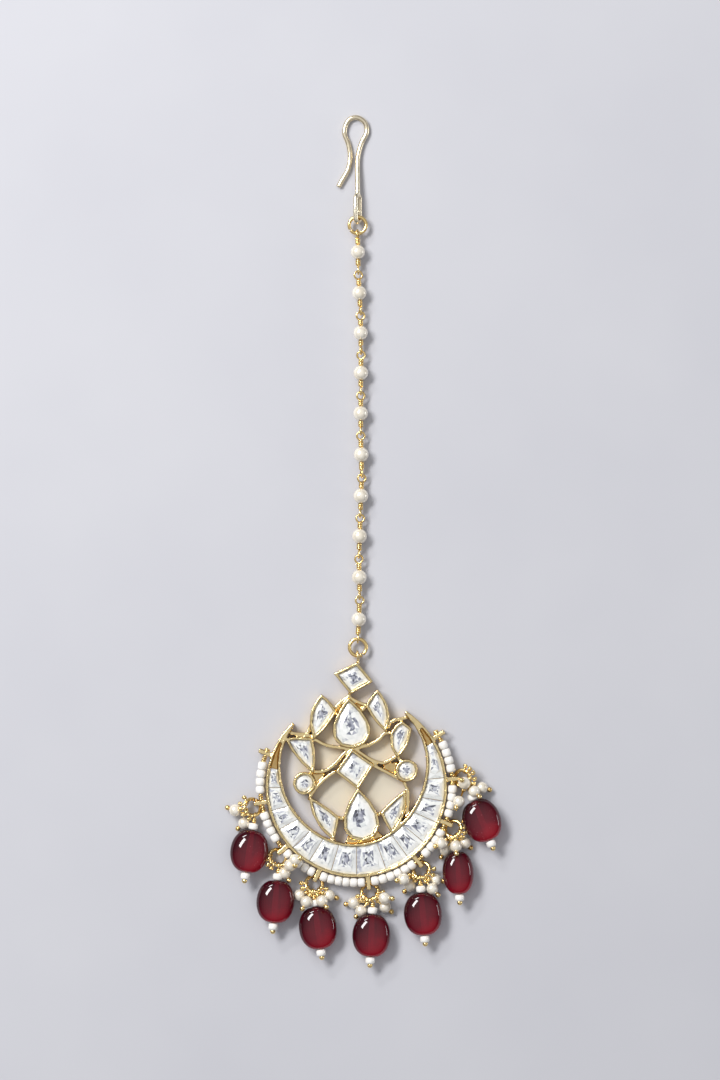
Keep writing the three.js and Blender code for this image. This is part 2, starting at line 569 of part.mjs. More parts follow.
// The head pin lies along -Y from the middle of its loop, with a seed above and below the bead's place.
function headPin(length) {
  const reach = BEAD_LENGTH / 2 + SEED_GAP + SEED_LENGTH; // bead's middle to the far end of a seed
  const ball = -length - reach - BALL_RADIUS / 2;
  const rows = [[ball - BALL_RADIUS, 0], [ball - BALL_RADIUS / 2, 0.87 * BALL_RADIUS],
    [ball + BALL_RADIUS / 2, 0.87 * BALL_RADIUS], [-length - reach, SEED_RADIUS],
    [-length - reach + SEED_LENGTH, SEED_RADIUS], [-length - reach + SEED_LENGTH, PIN_WIRE],
    [-length + reach - SEED_LENGTH, PIN_WIRE], [-length + reach - SEED_LENGTH, SEED_RADIUS],
    [-length + reach, SEED_RADIUS], [-length + reach, WRAP_RADIUS],
    [LINK_WIRE - LOOP_RADIUS, WRAP_RADIUS], [LINK_WIRE - LOOP_RADIUS, 0]];
  const loop = flatRing(LOOP_RADIUS, LINK_WIRE, LOOP_SIDES).rotateY(Math.PI / 2);
  return geometryOf(joined([turned(rows, PEARL_SIDES), loop]));
}

// Turned into the drop's place: diving to the bead's height, then leaning.
const alongPin = (geometry, row, { seat, dive }) =>
  geometry.rotateX(-dive).rotateZ(rad(row.lean)).translate(seat.x, seat.y, seat.z);

// How high a pearl's middle has to be to clear the surface, the ring, the seed string and the frame.
function pearlHeight(place, plan) {
  const radial = Math.hypot(place.x, place.y);
  const over = (reach, aside) => Math.sqrt(Math.max((SMALL_PEARL + reach + PEARL_PLAY) ** 2 - aside ** 2, 0));
  const around = place.clone().sub(plan.middle).setZ(0);
  const angle = THREE.MathUtils.radToDeg(Math.atan2(around.x, -around.y));
  const heights = [SMALL_PEARL + PEARL_PLAY];
  const onWire = plan.onRing(angle, RING_RADIUS);
  const overRing = over(RING_WIRE, around.length() - RING_RADIUS);
  if (overRing > 0) heights.push(onWire.z + overRing);
  const overString = over(SEED_RADIUS, radial - RIM_RADIUS - STRING_OUT);
  if (overString > 0) heights.push(stringHeight + overString);
  if (radial < RIM_RADIUS + SMALL_PEARL) heights.push(FRAME_HEIGHT + SMALL_PEARL + PEARL_PLAY);
  return Math.max(...heights);
}

// The head pin, with each pearl on a wire of its own that leaves the pin's wrap.
function wirework(row, plan) {
  const root = plan.seat.clone().addScaledVector(down(row.lean), LOOP_RADIUS + WRAP_RADIUS);
  const wires = row.pearls.flatMap(([angle, reach, lift]) => {
    const pearl = down(angle).multiplyScalar(reach * PEARL_REACH).add(plan.middle);
    pearl.z = pearlHeight(pearl, plan) + lift * SMALL_PEARL;
    const length = pearl.distanceTo(root);
    const full = length + SMALL_PEARL;
    const line = new THREE.LineCurve3(root, pearl.clone().lerp(root, 1 - full / length));
    const wire = [[0, 0], [0, PIN_WIRE], [length / full, PIN_WIRE], [length / full, 0]];
    const round = ballRows(length, SMALL_PEARL).map(([along, radius]) => [along / full, radius]);
    return [bentRod(line, wire, WIRE_SIDES), bentRod(line, round, PEARL_SIDES)];
  });
  return geometryOf(joined([alongPin(headPin(plan.length), row, plan), ...wires]));
}

const finishes = {
  gold: { color: 0xd4a03c, roughness: 0.3, metalness: 1 },
  paleGold: { color: 0xd9c08a, roughness: 0.3, metalness: 1 },
  stone: { color: 0xe8ebe6, roughness: 0.05, metalness: 0 },
  redGlass: { color: 0x6e0514, roughness: 0.08, metalness: 0 },
  seed: { color: 0xf3efe9, roughness: 0.3, metalness: 0 },
};

const jewel = new THREE.Group();

function add(name, geometry, finish, parent = jewel) {
  const mesh = new THREE.Mesh(geometry, new THREE.MeshStandardMaterial(finishes[finish]));
  mesh.name = name;
  parent.add(mesh);
  return mesh;
}

// The pendant, leaning.
const pendant = new THREE.Group();
pendant.rotation.z = rad(LEAN);
jewel.add(pendant);
add("pendant_frame", geometryOf(pendantFrame()), "gold", pendant);
for (const setting of settings) add(`stone_${setting.name}`, latticeStone(setting), "stone", pendant);
add("crescent_stones", crescentField(), "stone", pendant);
add("seed_string", seedString(), "seed", pendant);

// The chain climbs from the pendant's ring to the hook's.
const eyeletPlace = new THREE.Vector3(eyeletMiddle.x, eyeletMiddle.y, 0).applyAxisAngle(
  new THREE.Vector3(0, 0, 1), rad(LEAN));
const climb = eyeletPlace.clone().add(new THREE.Vector3(0, RING_RADIUS, 0));
add("pendant_ring", flatRing(RING_RADIUS, RING_WIRE, RING_SIDES), "gold").position.set(
  climb.x, climb.y, CHAIN_PEARL);
climb.y += RING_RADIUS + loopHold;
CHAIN.forEach((row, i) => {
  const heading = down(180 - row.turn);
  const place = climb.clone().addScaledVector(heading, linkReach(row));
  const link = add(`chain_link_${String(CHAIN.length - i).padStart(2, "0")}`, chainLink(row), "gold");
  link.position.set(place.x, place.y, CHAIN_PEARL);
  link.rotation.z = rad(-row.turn);
  climb.addScaledVector(heading, 2 * linkReach(row));
  if (i < CHAIN.length - 1) climb.y += loopPitch;
});
climb.y += loopHold + RING_RADIUS;
add("hook_ring", flatRing(RING_RADIUS, RING_WIRE, RING_SIDES), "gold").position.set(
  climb.x, climb.y, CHAIN_PEARL);
climb.y += RING_RADIUS + EYE_STRAIGHT + EYE_HALF_WIDTH - HOOK_WIRE - RING_WIRE - 2 * LOOP_PLAY;
add("hair_hook", hairHook(), "paleGold").position.set(climb.x, climb.y, 0);

// The drops.
DROPS.forEach((row, i) => {
  const plan = dropPlan(row);
  const ring = flatRing(RING_RADIUS, RING_WIRE, RING_SIDES).rotateX(-plan.tilt).rotateZ(rad(row.hang));
  add(`drop_ring_${i + 1}`, ring, "gold").position.copy(plan.middle);
  add(`drop_wirework_${i + 1}`, wirework(row, plan), "gold");
  const bead = redBead().scale(row.width, 1, 1).translate(0, -plan.length, 0);
  add(`drop_bead_${i + 1}`, alongPin(bead, row, plan), "redGlass");
});

// The origin is under the middle of the whole jewel, on the surface.
jewel.updateMatrixWorld(true);
const box = new THREE.Box3().setFromObject(jewel, true);
const middle = box.getCenter(new THREE.Vector3());
jewel.position.set(-middle.x, -middle.y, -box.min.z);

export default jewel;
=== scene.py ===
# %% [markdown]
# A maang tikka is worn in the parting of the hair, with its pendant on the forehead. This one lies flat on a
# table, as it would by itself: a hair hook, a chain of pearls on wrapped wire, and a crescent of foiled
# stones with red glass drops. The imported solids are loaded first, because every piece below is placed by
# them. All sizes here are in millimetres, and only a finished mesh is turned into metres.

import math
import random

import bpy
import numpy as np
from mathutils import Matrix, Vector, noise


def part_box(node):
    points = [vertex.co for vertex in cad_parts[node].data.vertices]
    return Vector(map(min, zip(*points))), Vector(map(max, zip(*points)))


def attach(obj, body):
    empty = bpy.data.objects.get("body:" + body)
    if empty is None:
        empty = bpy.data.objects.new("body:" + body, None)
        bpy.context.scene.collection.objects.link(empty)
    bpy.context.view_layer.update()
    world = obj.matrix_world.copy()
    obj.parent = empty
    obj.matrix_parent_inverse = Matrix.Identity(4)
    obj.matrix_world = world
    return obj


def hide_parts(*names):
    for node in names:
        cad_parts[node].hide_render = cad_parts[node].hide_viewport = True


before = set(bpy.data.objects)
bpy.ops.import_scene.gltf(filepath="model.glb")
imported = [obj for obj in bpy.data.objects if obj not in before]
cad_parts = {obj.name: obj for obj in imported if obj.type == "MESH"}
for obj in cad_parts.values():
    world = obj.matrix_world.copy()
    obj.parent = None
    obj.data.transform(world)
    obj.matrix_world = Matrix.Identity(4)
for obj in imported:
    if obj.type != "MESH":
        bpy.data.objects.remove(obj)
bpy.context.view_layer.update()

# %% [markdown]
# The sizes and tables repeat those of the solids, so that each wire and stone lands where its solid is. The
# pendant leans a little to the left, so a helper turns its own directions into those of the whole jewel.

# %% Sizes of the pendant
RIM, HORN, HORN_RISE, ARM_SWELL, ARM_SHIFT = 18.1, 14.9, 3.47, 0.6, 0.3
HORN_ANGLE, STRING_ANGLE = 140.6, 116
LEAN = math.radians(5.8)
FRAME_HEIGHT, SEAT_HEIGHT, BEZEL_WALL = 2.6, 1.0, 0.5
STONE_PLAY, STONE_HEIGHT, CROWN_HEIGHT = 0.09, 1.45, 0.5
ROUND_RADIUS = 0.126 * RIM
STRING_RADIUS, STRING_HEIGHT = RIM + 1.1, 2.05
LUG_MIDDLE, LUG_LENGTH, LUG_RING_HEIGHT = 19.77, 0.9, 0.72
RING, RING_WIRE = 1.68, 0.36
LOOP, LINK_WIRE, CHAIN_PEARL, WRAP_LENGTH = 0.78, 0.21, 1.5, 1.28
BEAD_WIDTH, BEAD_LENGTH, BEAD_THICKNESS, BEAD_BORE = 7.6, 8.4, 4.4, 0.85
SEED, SEED_LENGTH, SEED_GAP, BALL, SMALL_PEARL = 0.95, 1.35, 0.12, 0.55, 1.25
PIN_WRAP, PEARL_REACH, PEARL_PLAY, LOOP_PLAY = 0.75, 2.6, 0.1, 0.14
PIN_HEIGHT = BEAD_THICKNESS / 2 + 0.05
LOOP_HOLD = LOOP - LINK_WIRE - RING_WIRE - LOOP_PLAY
EYELET_MIDDLE = (0.163 * RIM, 1.43 * RIM)

STONES = {
    "crown": ([(0.145, 1.362), (-0.123, 1.263), (0.039, 1.016), (0.302, 1.13)], [0, 0, 0, 0]),
    "petal_left": ([(-0.282, 1.05), (-0.412, 0.567), (-0.135, 0.845)], [0.17, 0.06, 0.07]),
    "petal_right": ([(0.342, 1.041), (0.191, 0.872), (0.386, 0.563)], [0.07, 0.06, 0.16]),
    "fan_left": ([(-0.727, 0.607), (-0.455, 0.19), (-0.43, 0.58)], [0.07, 0.07, 0.04]),
    "fan_right": ([(0.575, 0.667), (0.43, 0.544), (0.486, 0.269), (0.672, 0.574)], [0.1, 0.13, 0.11, 0.03]),
    "centre": ([(-0.01, 0.419), (-0.217, 0.184), (0.015, -0.037), (0.219, 0.218)], [0, 0, 0, 0]),
    "leaf_left": ([(-0.529, -0.058), (-0.307, -0.568), (-0.223, -0.317)], [0.125, 0.03, 0.03]),
    "leaf_right": ([(0.533, -0.096), (0.233, -0.315), (0.336, -0.56)], [0.03, 0.03, 0.13]),
}
PEARS = {"heart": ((0.009, 0.983), (0.008, 0.425), 0.42), "base": ((0.015, -0.02), (0.014, -0.605), 0.4)}
ROUNDS = {"round_left": (-0.569, 0.092), "round_right": (0.57, 0.119)}
DIVIDERS = [-108, -94.8, -79.5, -66.4, -51.8, -38, -22.4, -5.5, 14, 30.3, 44.6, 60, 74.6, 89.8, 114]


def down(degrees):
    """A direction from straight down towards the right."""
    return Vector((math.sin(math.radians(degrees)), -math.cos(math.radians(degrees)), 0))


def leaned(x, y, z=0.0):
    """A place on the pendant, from the crescent's middle, in the frame of the whole jewel."""
    turn = Vector((x * math.cos(LEAN) - y * math.sin(LEAN), x * math.sin(LEAN) + y * math.cos(LEAN), z))
    return turn + CRESCENT


low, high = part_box("pendant_ring")
ring_place = (low + high) * 500
CRESCENT = Vector((0, 0, 0))
CRESCENT = Vector((ring_place.x, ring_place.y - RING, 0)) - leaned(*EYELET_MIDDLE)
print("the crescent's middle is at", tuple(round(v, 3) for v in CRESCENT))

# %% [markdown]
# The camera looks straight down, as the photograph does, through a long lens. Blender's camera looks along
# its own -Z, so with no rotation at all it already looks down. The lens is worked out from the height that
# the picture covers, and the sensor is fitted to the picture's height because the picture is upright.

# %% Camera
VIEW_HEIGHT, CAMERA_DISTANCE, SENSOR = 216.0, 900.0, 36
PICTURE_MIDDLE = (0.74, 49.16)
camera_data = bpy.data.cameras.new("camera")
camera_data.sensor_fit = "VERTICAL"
camera_data.sensor_height = SENSOR
camera_data.lens = SENSOR * CAMERA_DISTANCE / VIEW_HEIGHT
camera = bpy.data.objects.new("camera", camera_data)
camera.location = (CRESCENT + Vector((*PICTURE_MIDDLE, CAMERA_DISTANCE))) / 1000
bpy.context.scene.collection.objects.link(camera)
bpy.context.scene.camera = camera
print("lens", camera_data.lens)

# %% [markdown]
# A shiny jewel is lit by what it mirrors. One large soft light from the upper left gives the shadows that
# fall to the right. A narrow strip beyond the top makes a white streak near the upper edge of each glass
# drop, and a low one on the right makes a fine line along the other edge. The surroundings fill the shadows.
# They are bright overhead and dark towards the horizon, so that level gold is bright and its slopes are
# deep. Colours are shown as they are, without a film's curve, because that would wash out the gold and the
# red.

# %% Lights


def soft_light(name, place, size, power, tint=(1, 1, 1)):
    data = bpy.data.lights.new(name, "AREA")
    data.shape = "RECTANGLE"
    data.size, data.size_y = size[0] / 1000, size[1] / 1000
    data.energy = power
    data.color = tint
    lamp = bpy.data.objects.new(name, data)
    lamp.location = (CRESCENT + Vector(place)) / 1000
    lamp.rotation_euler = (camera_target - lamp.location).to_track_quat("-Z", "Y").to_euler()
    bpy.context.scene.collection.objects.link(lamp)


camera_target = (CRESCENT + Vector((0, 40, 0))) / 1000
soft_light("key", place=(-440, 390, 640), size=(420, 180), power=6.2)
soft_light("strip", place=(-330, 660, 430), size=(230, 50), power=1.3)
soft_light("edge", place=(850, 100, 130), size=(380, 60), power=0.8, tint=(0.97, 0.98, 1))
world = bpy.data.worlds.new("studio")
world.use_nodes = True
sky = world.node_tree
sky_up = sky.nodes.new("ShaderNodeSeparateXYZ")
sky_tone = sky.nodes.new("ShaderNodeMapRange")
for key, value in {"From Min": 0.1, "From Max": 0.95, "To Min": 0.04, "To Max": 0.68}.items():
    sky_tone.inputs[key].default_value = value
sky.nodes["Background"].inputs["Color"].default_value = (0.95, 0.96, 1, 1)
sky.links.new(sky.nodes.new("ShaderNodeTexCoord").outputs["Generated"], sky_up.inputs[0])
sky.links.new(sky_up.outputs["Z"], sky_tone.inputs["Value"])
sky.links.new(sky_tone.outputs["Result"], sky.nodes["Background"].inputs["Strength"])
bpy.context.scene.world = world
bpy.context.scene.view_settings.view_transform = "Standard"

# %% [markdown]
# A finish is a tree of nodes, and sums in a tree are hard to read. So one small class stands for a node's
# output: its operators add Math nodes, which lets a mask be written as a plain expression. Every other node
# comes from one method, which takes the node's type, its settings and the values of its sockets.

# %% Helpers for finishes


class Wire:
    """One output of a node, on which sums can be written."""

    def __init__(self, look, socket):
        self.look, self.socket = look, socket

    def math(self, operation, *others):
        inputs = dict(enumerate((self, *others)))
        return self.look.node("ShaderNodeMath", {"operation": operation}, inputs)

    def __add__(self, other):
        return self.math("ADD", other)

    def __mul__(self, other):
        return self.math("MULTIPLY", other)

    def __sub__(self, other):
        return self.math("SUBTRACT", other)

    def __rsub__(self, other):
        return (self * -1.0) + other

    __radd__, __rmul__ = __add__, __mul__

    def clamped(self):
        return self.math("MAXIMUM", 0.0).math("MINIMUM", 1.0)

    def between(self, low, high):
        """0 where the value is low or less, 1 where it is high or more, and a smooth step between."""
        settings = {"interpolation_type": "SMOOTHSTEP"}
        inputs = {"Value": self, "From Min": low, "From Max": high}
        return self.look.node("ShaderNodeMapRange", settings, inputs)


class Look:
    """A material with one Principled shader and short ways to feed it."""

    def __init__(self, name, **constants):
        self.material = bpy.data.materials.new(name)
        self.material.use_nodes = True
        self.tree = self.material.node_tree
        self.shader = self.tree.nodes["Principled BSDF"]
        for socket, value in constants.items():
            self.shader.inputs[socket.replace("_", " ")].default_value = value

    def node(self, kind, settings=None, inputs=None, output=0):
        made = self.tree.nodes.new(kind)
        settings = dict(settings or {})
        stops = settings.pop("stops", None)
        for key, value in settings.items():
            setattr(made, key, value)
        if stops:
            ramp = made.color_ramp
            while len(ramp.elements) < len(stops):
                ramp.elements.new(0.5)
            for element, (place, colour) in zip(ramp.elements, stops):
                element.position, element.color = place, (*colour, 1)
        for key, value in (inputs or {}).items():
            if isinstance(value, Wire):
                self.tree.links.new(value.socket, made.inputs[key])
            else:
                made.inputs[key].default_value = value
        return Wire(self, made.outputs[output])

    def place(self):
        return self.node("ShaderNodeTexCoord", output="Object")

    def noise(self, scale, detail=3.0, roughness=0.55):
        """Cloudy grain with this many patches to a millimetre."""
        inputs = {"Scale": scale * 1000, "Detail": detail, "Roughness": roughness, "Vector": self.place()}
        return self.node("ShaderNodeTexNoise", None, inputs)

    def ramp(self, value, stops):
        return self.node("ShaderNodeValToRGB", {"stops": stops}, {"Fac": value})

    def mix(self, mask, first, second):
        colours = {0: mask, 6: first, 7: second}
        for key in (6, 7):
            if not isinstance(colours[key], Wire):
                colours[key] = (*colours[key], 1)
        return self.node("ShaderNodeMix", {"data_type": "RGBA"}, colours, output=2)

    def height(self):
        """Millimetres above the table."""
        return self.node("ShaderNodeSeparateXYZ", None, {0: self.place()}, output=2) * 1000.0

    def value(self, name):
        """A number that the mesh carries for each face or corner."""
        return self.node("ShaderNodeAttribute", {"attribute_name": name}, output="Fac")

    def feed(self, **wires):
        for socket, wire in wires.items():
            self.tree.links.new(wire.socket, self.shader.inputs[socket.replace("_", " ")])

    def bump(self, height, strength, distance):
        inputs = {"Height": height, "Strength": strength, "Distance": distance / 1000}
        self.feed(Normal=self.node("ShaderNodeBump", None, inputs))


print("finish helpers ready")

# %% [markdown]
# The table is not part of the jewel. A pale grey sheet with a hint of lavender, dull enough to show no
# mirror image, is all that the picture needs. Its colour wavers a little so that it isn't dead flat. Inside
# the openings of the pendant the gold walls throw warm light down on the sheet, and a tint there stands for
# it.

# %% Floor
paper = Look("pale_table", Roughness=0.72)
tone = paper.ramp(paper.noise(0.02), [(0.3, (0.535, 0.535, 0.57)), (0.7, (0.565, 0.565, 0.595))])
WARM_TINT, TINT_FULL, TINT_END = (0.65, 0.60, 0.49), 8.0, 15.0
places = {0: paper.place(), 1: leaned(0, 5) / 1000}
from_centre = paper.node("ShaderNodeVectorMath", {"operation": "DISTANCE"}, places, output=1) * 1000.0
openings = 1.0 - from_centre.between(TINT_FULL, TINT_END)
paper.feed(Base_Color=paper.mix(openings, tone, WARM_TINT))

floor_mesh = bpy.data.meshes.new("floor")
FLOOR, FLOOR_DROP = 1.5, 0.00002
corners = [(-FLOOR, -FLOOR, 0), (FLOOR, -FLOOR, 0), (FLOOR, FLOOR, 0), (-FLOOR, FLOOR, 0)]
floor_mesh.from_pydata(corners, [], [(0, 1, 2, 3)])
floor = bpy.data.objects.new("floor", floor_mesh)
floor.data.materials.append(paper.material)
floor.location.z = -FLOOR_DROP
bpy.context.scene.collection.objects.link(floor)
print("floor", FLOOR * 2, "m wide")

# %% [markdown]
# Gold here is thin plating on brass: bright and warm on the rims, and a painted shade makes it deeper and
# more amber down in the setting, where less light reaches. Fine grain in a bump stands for the hammered,
# hand-burnished skin. The hook is a paler alloy, drawn as smooth wire. Metal needs only its colour, roughness
# and bump.

# %% Gold finishes
# heights in millimetres over which the painted shade of low gold gives way to its full brightness
SHADED_BELOW, LIT_ABOVE = 0.6, 2.4


def gold_finish(name, deep, bright, grain, roughness):
    look = Look(name, Metallic=1.0)
    patches = look.noise(1.1)
    # painted shade: the lower the gold lies in the setting, the more it is mixed towards the deeper tone;
    # random patches come on top
    painted_light_by_height = look.height().between(SHADED_BELOW, LIT_ABOVE)
    tone = (painted_light_by_height * 0.65 + patches * 0.45).clamped()
    look.feed(Base_Color=look.mix(tone, deep, bright), Roughness=look.noise(2.5) * 0.16 + (roughness - 0.05))
    look.bump(look.noise(3.2, 4.0) + look.noise(9.0) * 0.4, grain, 0.12)
    return look


SETTING_GOLD = gold_finish("setting_gold", (0.50, 0.27, 0.06), (1.0, 0.81, 0.43), 0.22, 0.15)
WIRE_GOLD = gold_finish("wire_gold", (0.74, 0.46, 0.12), (0.98, 0.76, 0.36), 0.1, 0.16)
HOOK_GOLD = gold_finish("hook_gold", (0.84, 0.72, 0.50), (0.97, 0.88, 0.68), 0.05, 0.2)
print("gold finishes", SETTING_GOLD.material.name, WIRE_GOLD.material.name, HOOK_GOLD.material.name)

# %% [markdown]
# Behind each clear stone is crumpled silver foil, so what shows is the foil, broken up by the facets: the
# slopes are white, and some facets round the middle are grey or nearly black. A true glass would need the
# foil and many bounces of light. Here the faces themselves carry a number from 0 to 1 for how much light
# they throw back, which sets their colour as a painted reflection of the foil, and a clear coat on top gives
# the gloss of glass.

# %% Stone finish
STONE = Look("foiled_stone", Metallic=0.2, IOR=1.5, Coat_Weight=1.0, Coat_Roughness=0.02)
crinkle = STONE.noise(1.3, 2.0)
shine = (STONE.value("sparkle") + (crinkle - 0.5) * 0.55).clamped()
# painted reflection: colours from a nearly black face to a white one, by how much light the face throws back
FOIL_PAINTED_REFLECTION_TONES = [(0.05, (0.05, 0.05, 0.065)), (0.26, (0.2, 0.21, 0.27)), (0.42, (0.46, 0.47, 0.53)),
              (0.58, (0.84, 0.86, 0.83)), (0.85, (0.98, 0.98, 0.95))]
STONE.feed(Base_Color=STONE.ramp(shine, FOIL_PAINTED_REFLECTION_TONES), Roughness=crinkle * 0.2 + 0.06)
STONE.bump(crinkle, 0.3, 0.12)
print("stone finish", STONE.material.name)

# %% [markdown]
# Pearls are creamy and shine softly, from a thin clear coat over a body that is a little rough. Seed beads
# are white glass. The red drops are deep glass with painted light: painted shade darkens the edges and the
# upper left, a painted glow brightens the far side, low and to the right, where light that came in from the
# upper left would gather, and the glass gives off its colour faintly as a painted glow, though it is no lamp.

# %% Pearl, seed and red glass finishes
PEARL = Look("pearl", Roughness=0.24, Metallic=0.3, Coat_Weight=0.8, Coat_Roughness=0.06)
PEARL_TONES = [(0.3, (0.86, 0.77, 0.61)), (0.7, (0.96, 0.91, 0.80))]
PEARL.feed(Base_Color=PEARL.ramp(PEARL.noise(0.5), PEARL_TONES))
PEARL.bump(PEARL.noise(2.0), 0.12, 0.1)

SEED_WHITE = Look("white_seed", Roughness=0.26, Coat_Weight=0.5, Coat_Roughness=0.06)
SEED_TONES = [(0.3, (0.88, 0.84, 0.77)), (0.7, (0.96, 0.94, 0.91))]
SEED_WHITE.feed(Base_Color=SEED_WHITE.ramp(SEED_WHITE.noise(0.7), SEED_TONES))

RUBY = Look("red_glass", Roughness=0.04, IOR=1.5)
# painted glow: the glass gives off its own body colour faintly, though it is no lamp
RUBY.shader.inputs["Emission Strength"].default_value = 0.12
glow = RUBY.value("glow")
bore = RUBY.value("bore")
# painted light and shade: from dark red where the painted glow is low to bright red where it is high
RUBY_PAINTED_LIGHT_TONES = [(0.1, (0.03, 0.001, 0.004)), (0.5, (0.11, 0.002, 0.009)), (0.9, (0.36, 0.004, 0.015))]
BORE_RED, BUBBLE_PINK = (0.30, 0.006, 0.02), (0.8, 0.25, 0.27)
bubbles = RUBY.node("ShaderNodeTexVoronoi", None, {"Scale": 1900.0, "Vector": RUBY.place()})
# the bubbles are real, but they show only as far as the painted glow reaches
bubble = (1.0 - bubbles.between(0.05, 0.13)) * RUBY.value("bubbly") * glow
body = RUBY.ramp(glow + (RUBY.noise(0.35) - 0.5) * 0.25, RUBY_PAINTED_LIGHT_TONES)
body = RUBY.mix(bore * 0.14, body, BORE_RED)
# the body colour, its painted light and shade included, is also given off as the painted glow
RUBY.feed(Base_Color=RUBY.mix(bubble.clamped(), body, BUBBLE_PINK), Emission_Color=body)
print("pearl, seed and glass finishes ready")

# %% [markdown]
# Every piece below is a mesh that is worked out face by face. A small collector takes closed skins of rings
# of points, with a finish for each skin, and makes one object of them, so that a link with its pearl is one
# body.

# %% Helpers for meshes


class Piece:
    """Collects skins in millimetres and makes one mesh of them."""

    def __init__(self, name, finishes):
        self.name, self.finishes = name, finishes
        self.points, self.faces, self.looks, self.flat = [], [], [], []
        self.values = {}

    def add(self, points, faces, look=0, flat=False, **values):
        start = len(self.points)
        self.points.extend(tuple(p) for p in points)
        self.faces.extend([i + start for i in face] for face in faces)
        self.looks.extend([look] * len(faces))
        self.flat.extend([flat] * len(faces))
        for key, numbers in values.items():
            kept = self.values.setdefault(key, {})
            for k, number in enumerate(numbers):
                kept[len(self.faces) - len(faces) + k] = number

    def done(self, slot, *nodes):
        mesh = bpy.data.meshes.new(self.name)
        mesh.from_pydata([tuple(c / 1000 for c in p) for p in self.points], [], self.faces)
        for finish in self.finishes:
            mesh.materials.append(finish.material)
        mesh.polygons.foreach_set("material_index", self.looks)
        mesh.polygons.foreach_set("use_smooth", [not f for f in self.flat])
        for key, kept in self.values.items():
            numbers = mesh.attributes.new(key, "FLOAT", "FACE")
            numbers.data.foreach_set("value", [kept.get(i, 0.0) for i in range(len(self.faces))])
        mesh.validate()
        made = bpy.data.objects.new(self.name, mesh)
        bpy.context.scene.collection.objects.link(made)
        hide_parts(*nodes)
        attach(made, "root")
        return made


def skin(rings, closed=False):
    """Points and faces over rings of equally many points. An open skin is closed at its ends."""
    count = len(rings[0])
    points = [p for ring in rings for p in ring]
    faces = []
    for k in range(len(rings) if closed else len(rings) - 1):
        here, there = k * count, ((k + 1) % len(rings)) * count
        for i in range(count):
            j = (i + 1) % count
            faces.append((here + i, here + j, there + j, there + i))
    if not closed:
        faces.append(tuple(reversed(range(count))))
        faces.append(tuple(range((len(rings) - 1) * count, len(rings) * count)))
    return points, faces


def tube(path, radii, sides=10, closed=False):
    """A round wire along a path, with its frame carried along so that it doesn't twist."""
    path = [Vector(p) for p in path]
    count = len(path)
    radii = [radii] * count if isinstance(radii, (int, float)) else radii
    ahead = [path[(i + 1) % count] if closed or i < count - 1 else path[i] for i in range(count)]
    behind = [path[i - 1] if closed or i else path[i] for i in range(count)]
    side = None
    rings = []
    for point, a, b, radius in zip(path, ahead, behind, radii):
        along = (a - b).normalized()
        if side is None:
            side = along.orthogonal()
        side = (side - along * side.dot(along)).normalized()
        other = along.cross(side)
        turns = [2 * math.pi * k / sides for k in range(sides)]
        rings.append([point + side * (radius * math.cos(t)) + other * (radius * math.sin(t)) for t in turns])
    if not closed:
        rings = [[path[0] + (p - path[0]) * 0.5 for p in rings[0]], *rings,
                 [path[-1] + (p - path[-1]) * 0.5 for p in rings[-1]]]
    return skin(rings, closed)


def turned(rows, start, along, sides=24, up=None, flat=1.0, wide=1.0):
    """A body turned about a line: rows are (distance along it, radius). flat squeezes it towards the line."""
    along = Vector(along).normalized()
    up = Vector(up) if up else along.orthogonal()
    up = (up - along * up.dot(along)).normalized()
    side = along.cross(up)
    turns = [2 * math.pi * k / sides for k in range(sides)]
    return skin([[Vector(start) + along * y + side * (-r * wide * math.cos(t)) + up * (r * flat * math.sin(t))
                  for t in turns] for y, r in rows])


def ball_rows(radius, rows=10, middle=0.0):
    angles = [math.pi * (k + 0.15) / (rows + 0.3) for k in range(rows + 1)]
    return [(middle - radius * math.cos(a), radius * math.sin(a)) for a in angles]


def barrel_rows(start, length, radius):
    """A seed bead: a short barrel with rounded edges."""
    shape = [(0, 0.55), (0.04, 0.8), (0.2, 0.97), (0.5, 1.0), (0.8, 0.97), (0.96, 0.8), (1, 0.55)]
    return [(start + t * length, width * radius) for t, width in shape]


def coil(start, along, radius, length, turns, steps=12):
    """The points of a wire wound round a line."""
    along = Vector(along).normalized()
    side = along.orthogonal().normalized()
    other = along.cross(side)
    count = round(turns * steps)
    places = []
    for k in range(count + 1):
        angle = 2 * math.pi * k / steps
        out = side * math.cos(angle) + other * math.sin(angle)
        places.append(Vector(start) + along * (length * k / count) + out * radius)
    return places


def circle(middle, radius, across, over, start=0.0, sweep=360.0, steps=32):
    """Points round a circle in the plane of two directions."""
    count = steps if sweep >= 360 else steps + 1
    turns = [math.radians(start + sweep * k / steps) for k in range(count)]
    middle, across, over = Vector(middle), Vector(across), Vector(over)
    return [middle + across * (radius * math.cos(t)) + over * (radius * math.sin(t)) for t in turns]


def smooth_line(points, steps):
    """A line through all the points, bent as a springy wire would be."""
    points = [Vector(p) for p in points]
    ends = [points[0] * 2 - points[1], *points, points[-1] * 2 - points[-2]]
    line = []
    for a, b, c, d in zip(ends, ends[1:], ends[2:], ends[3:]):
        for k in range(steps):
            t = k / steps
            line.append(0.5 * ((2 * b) + (c - a) * t + (2 * a - 5 * b + 4 * c - d) * t**2
                               + (3 * b - a - 3 * c + d) * t**3))
    return [*line, points[-1]]


UP = Vector((0, 0, 1))
print("mesh helpers ready")

# %% [markdown]
# The outlines of the stones come from their corners. Each side bows out a little, and a margin draws the
# whole outline inwards, first for the bezel's wall and then for the facets of the stone.

# %% Outlines
PEAR_WIDEST = 0.77


def inward(along):
    """The direction across a side, towards the middle of an outline that runs anticlockwise."""
    return Vector((-along.y, along.x, 0)).normalized()


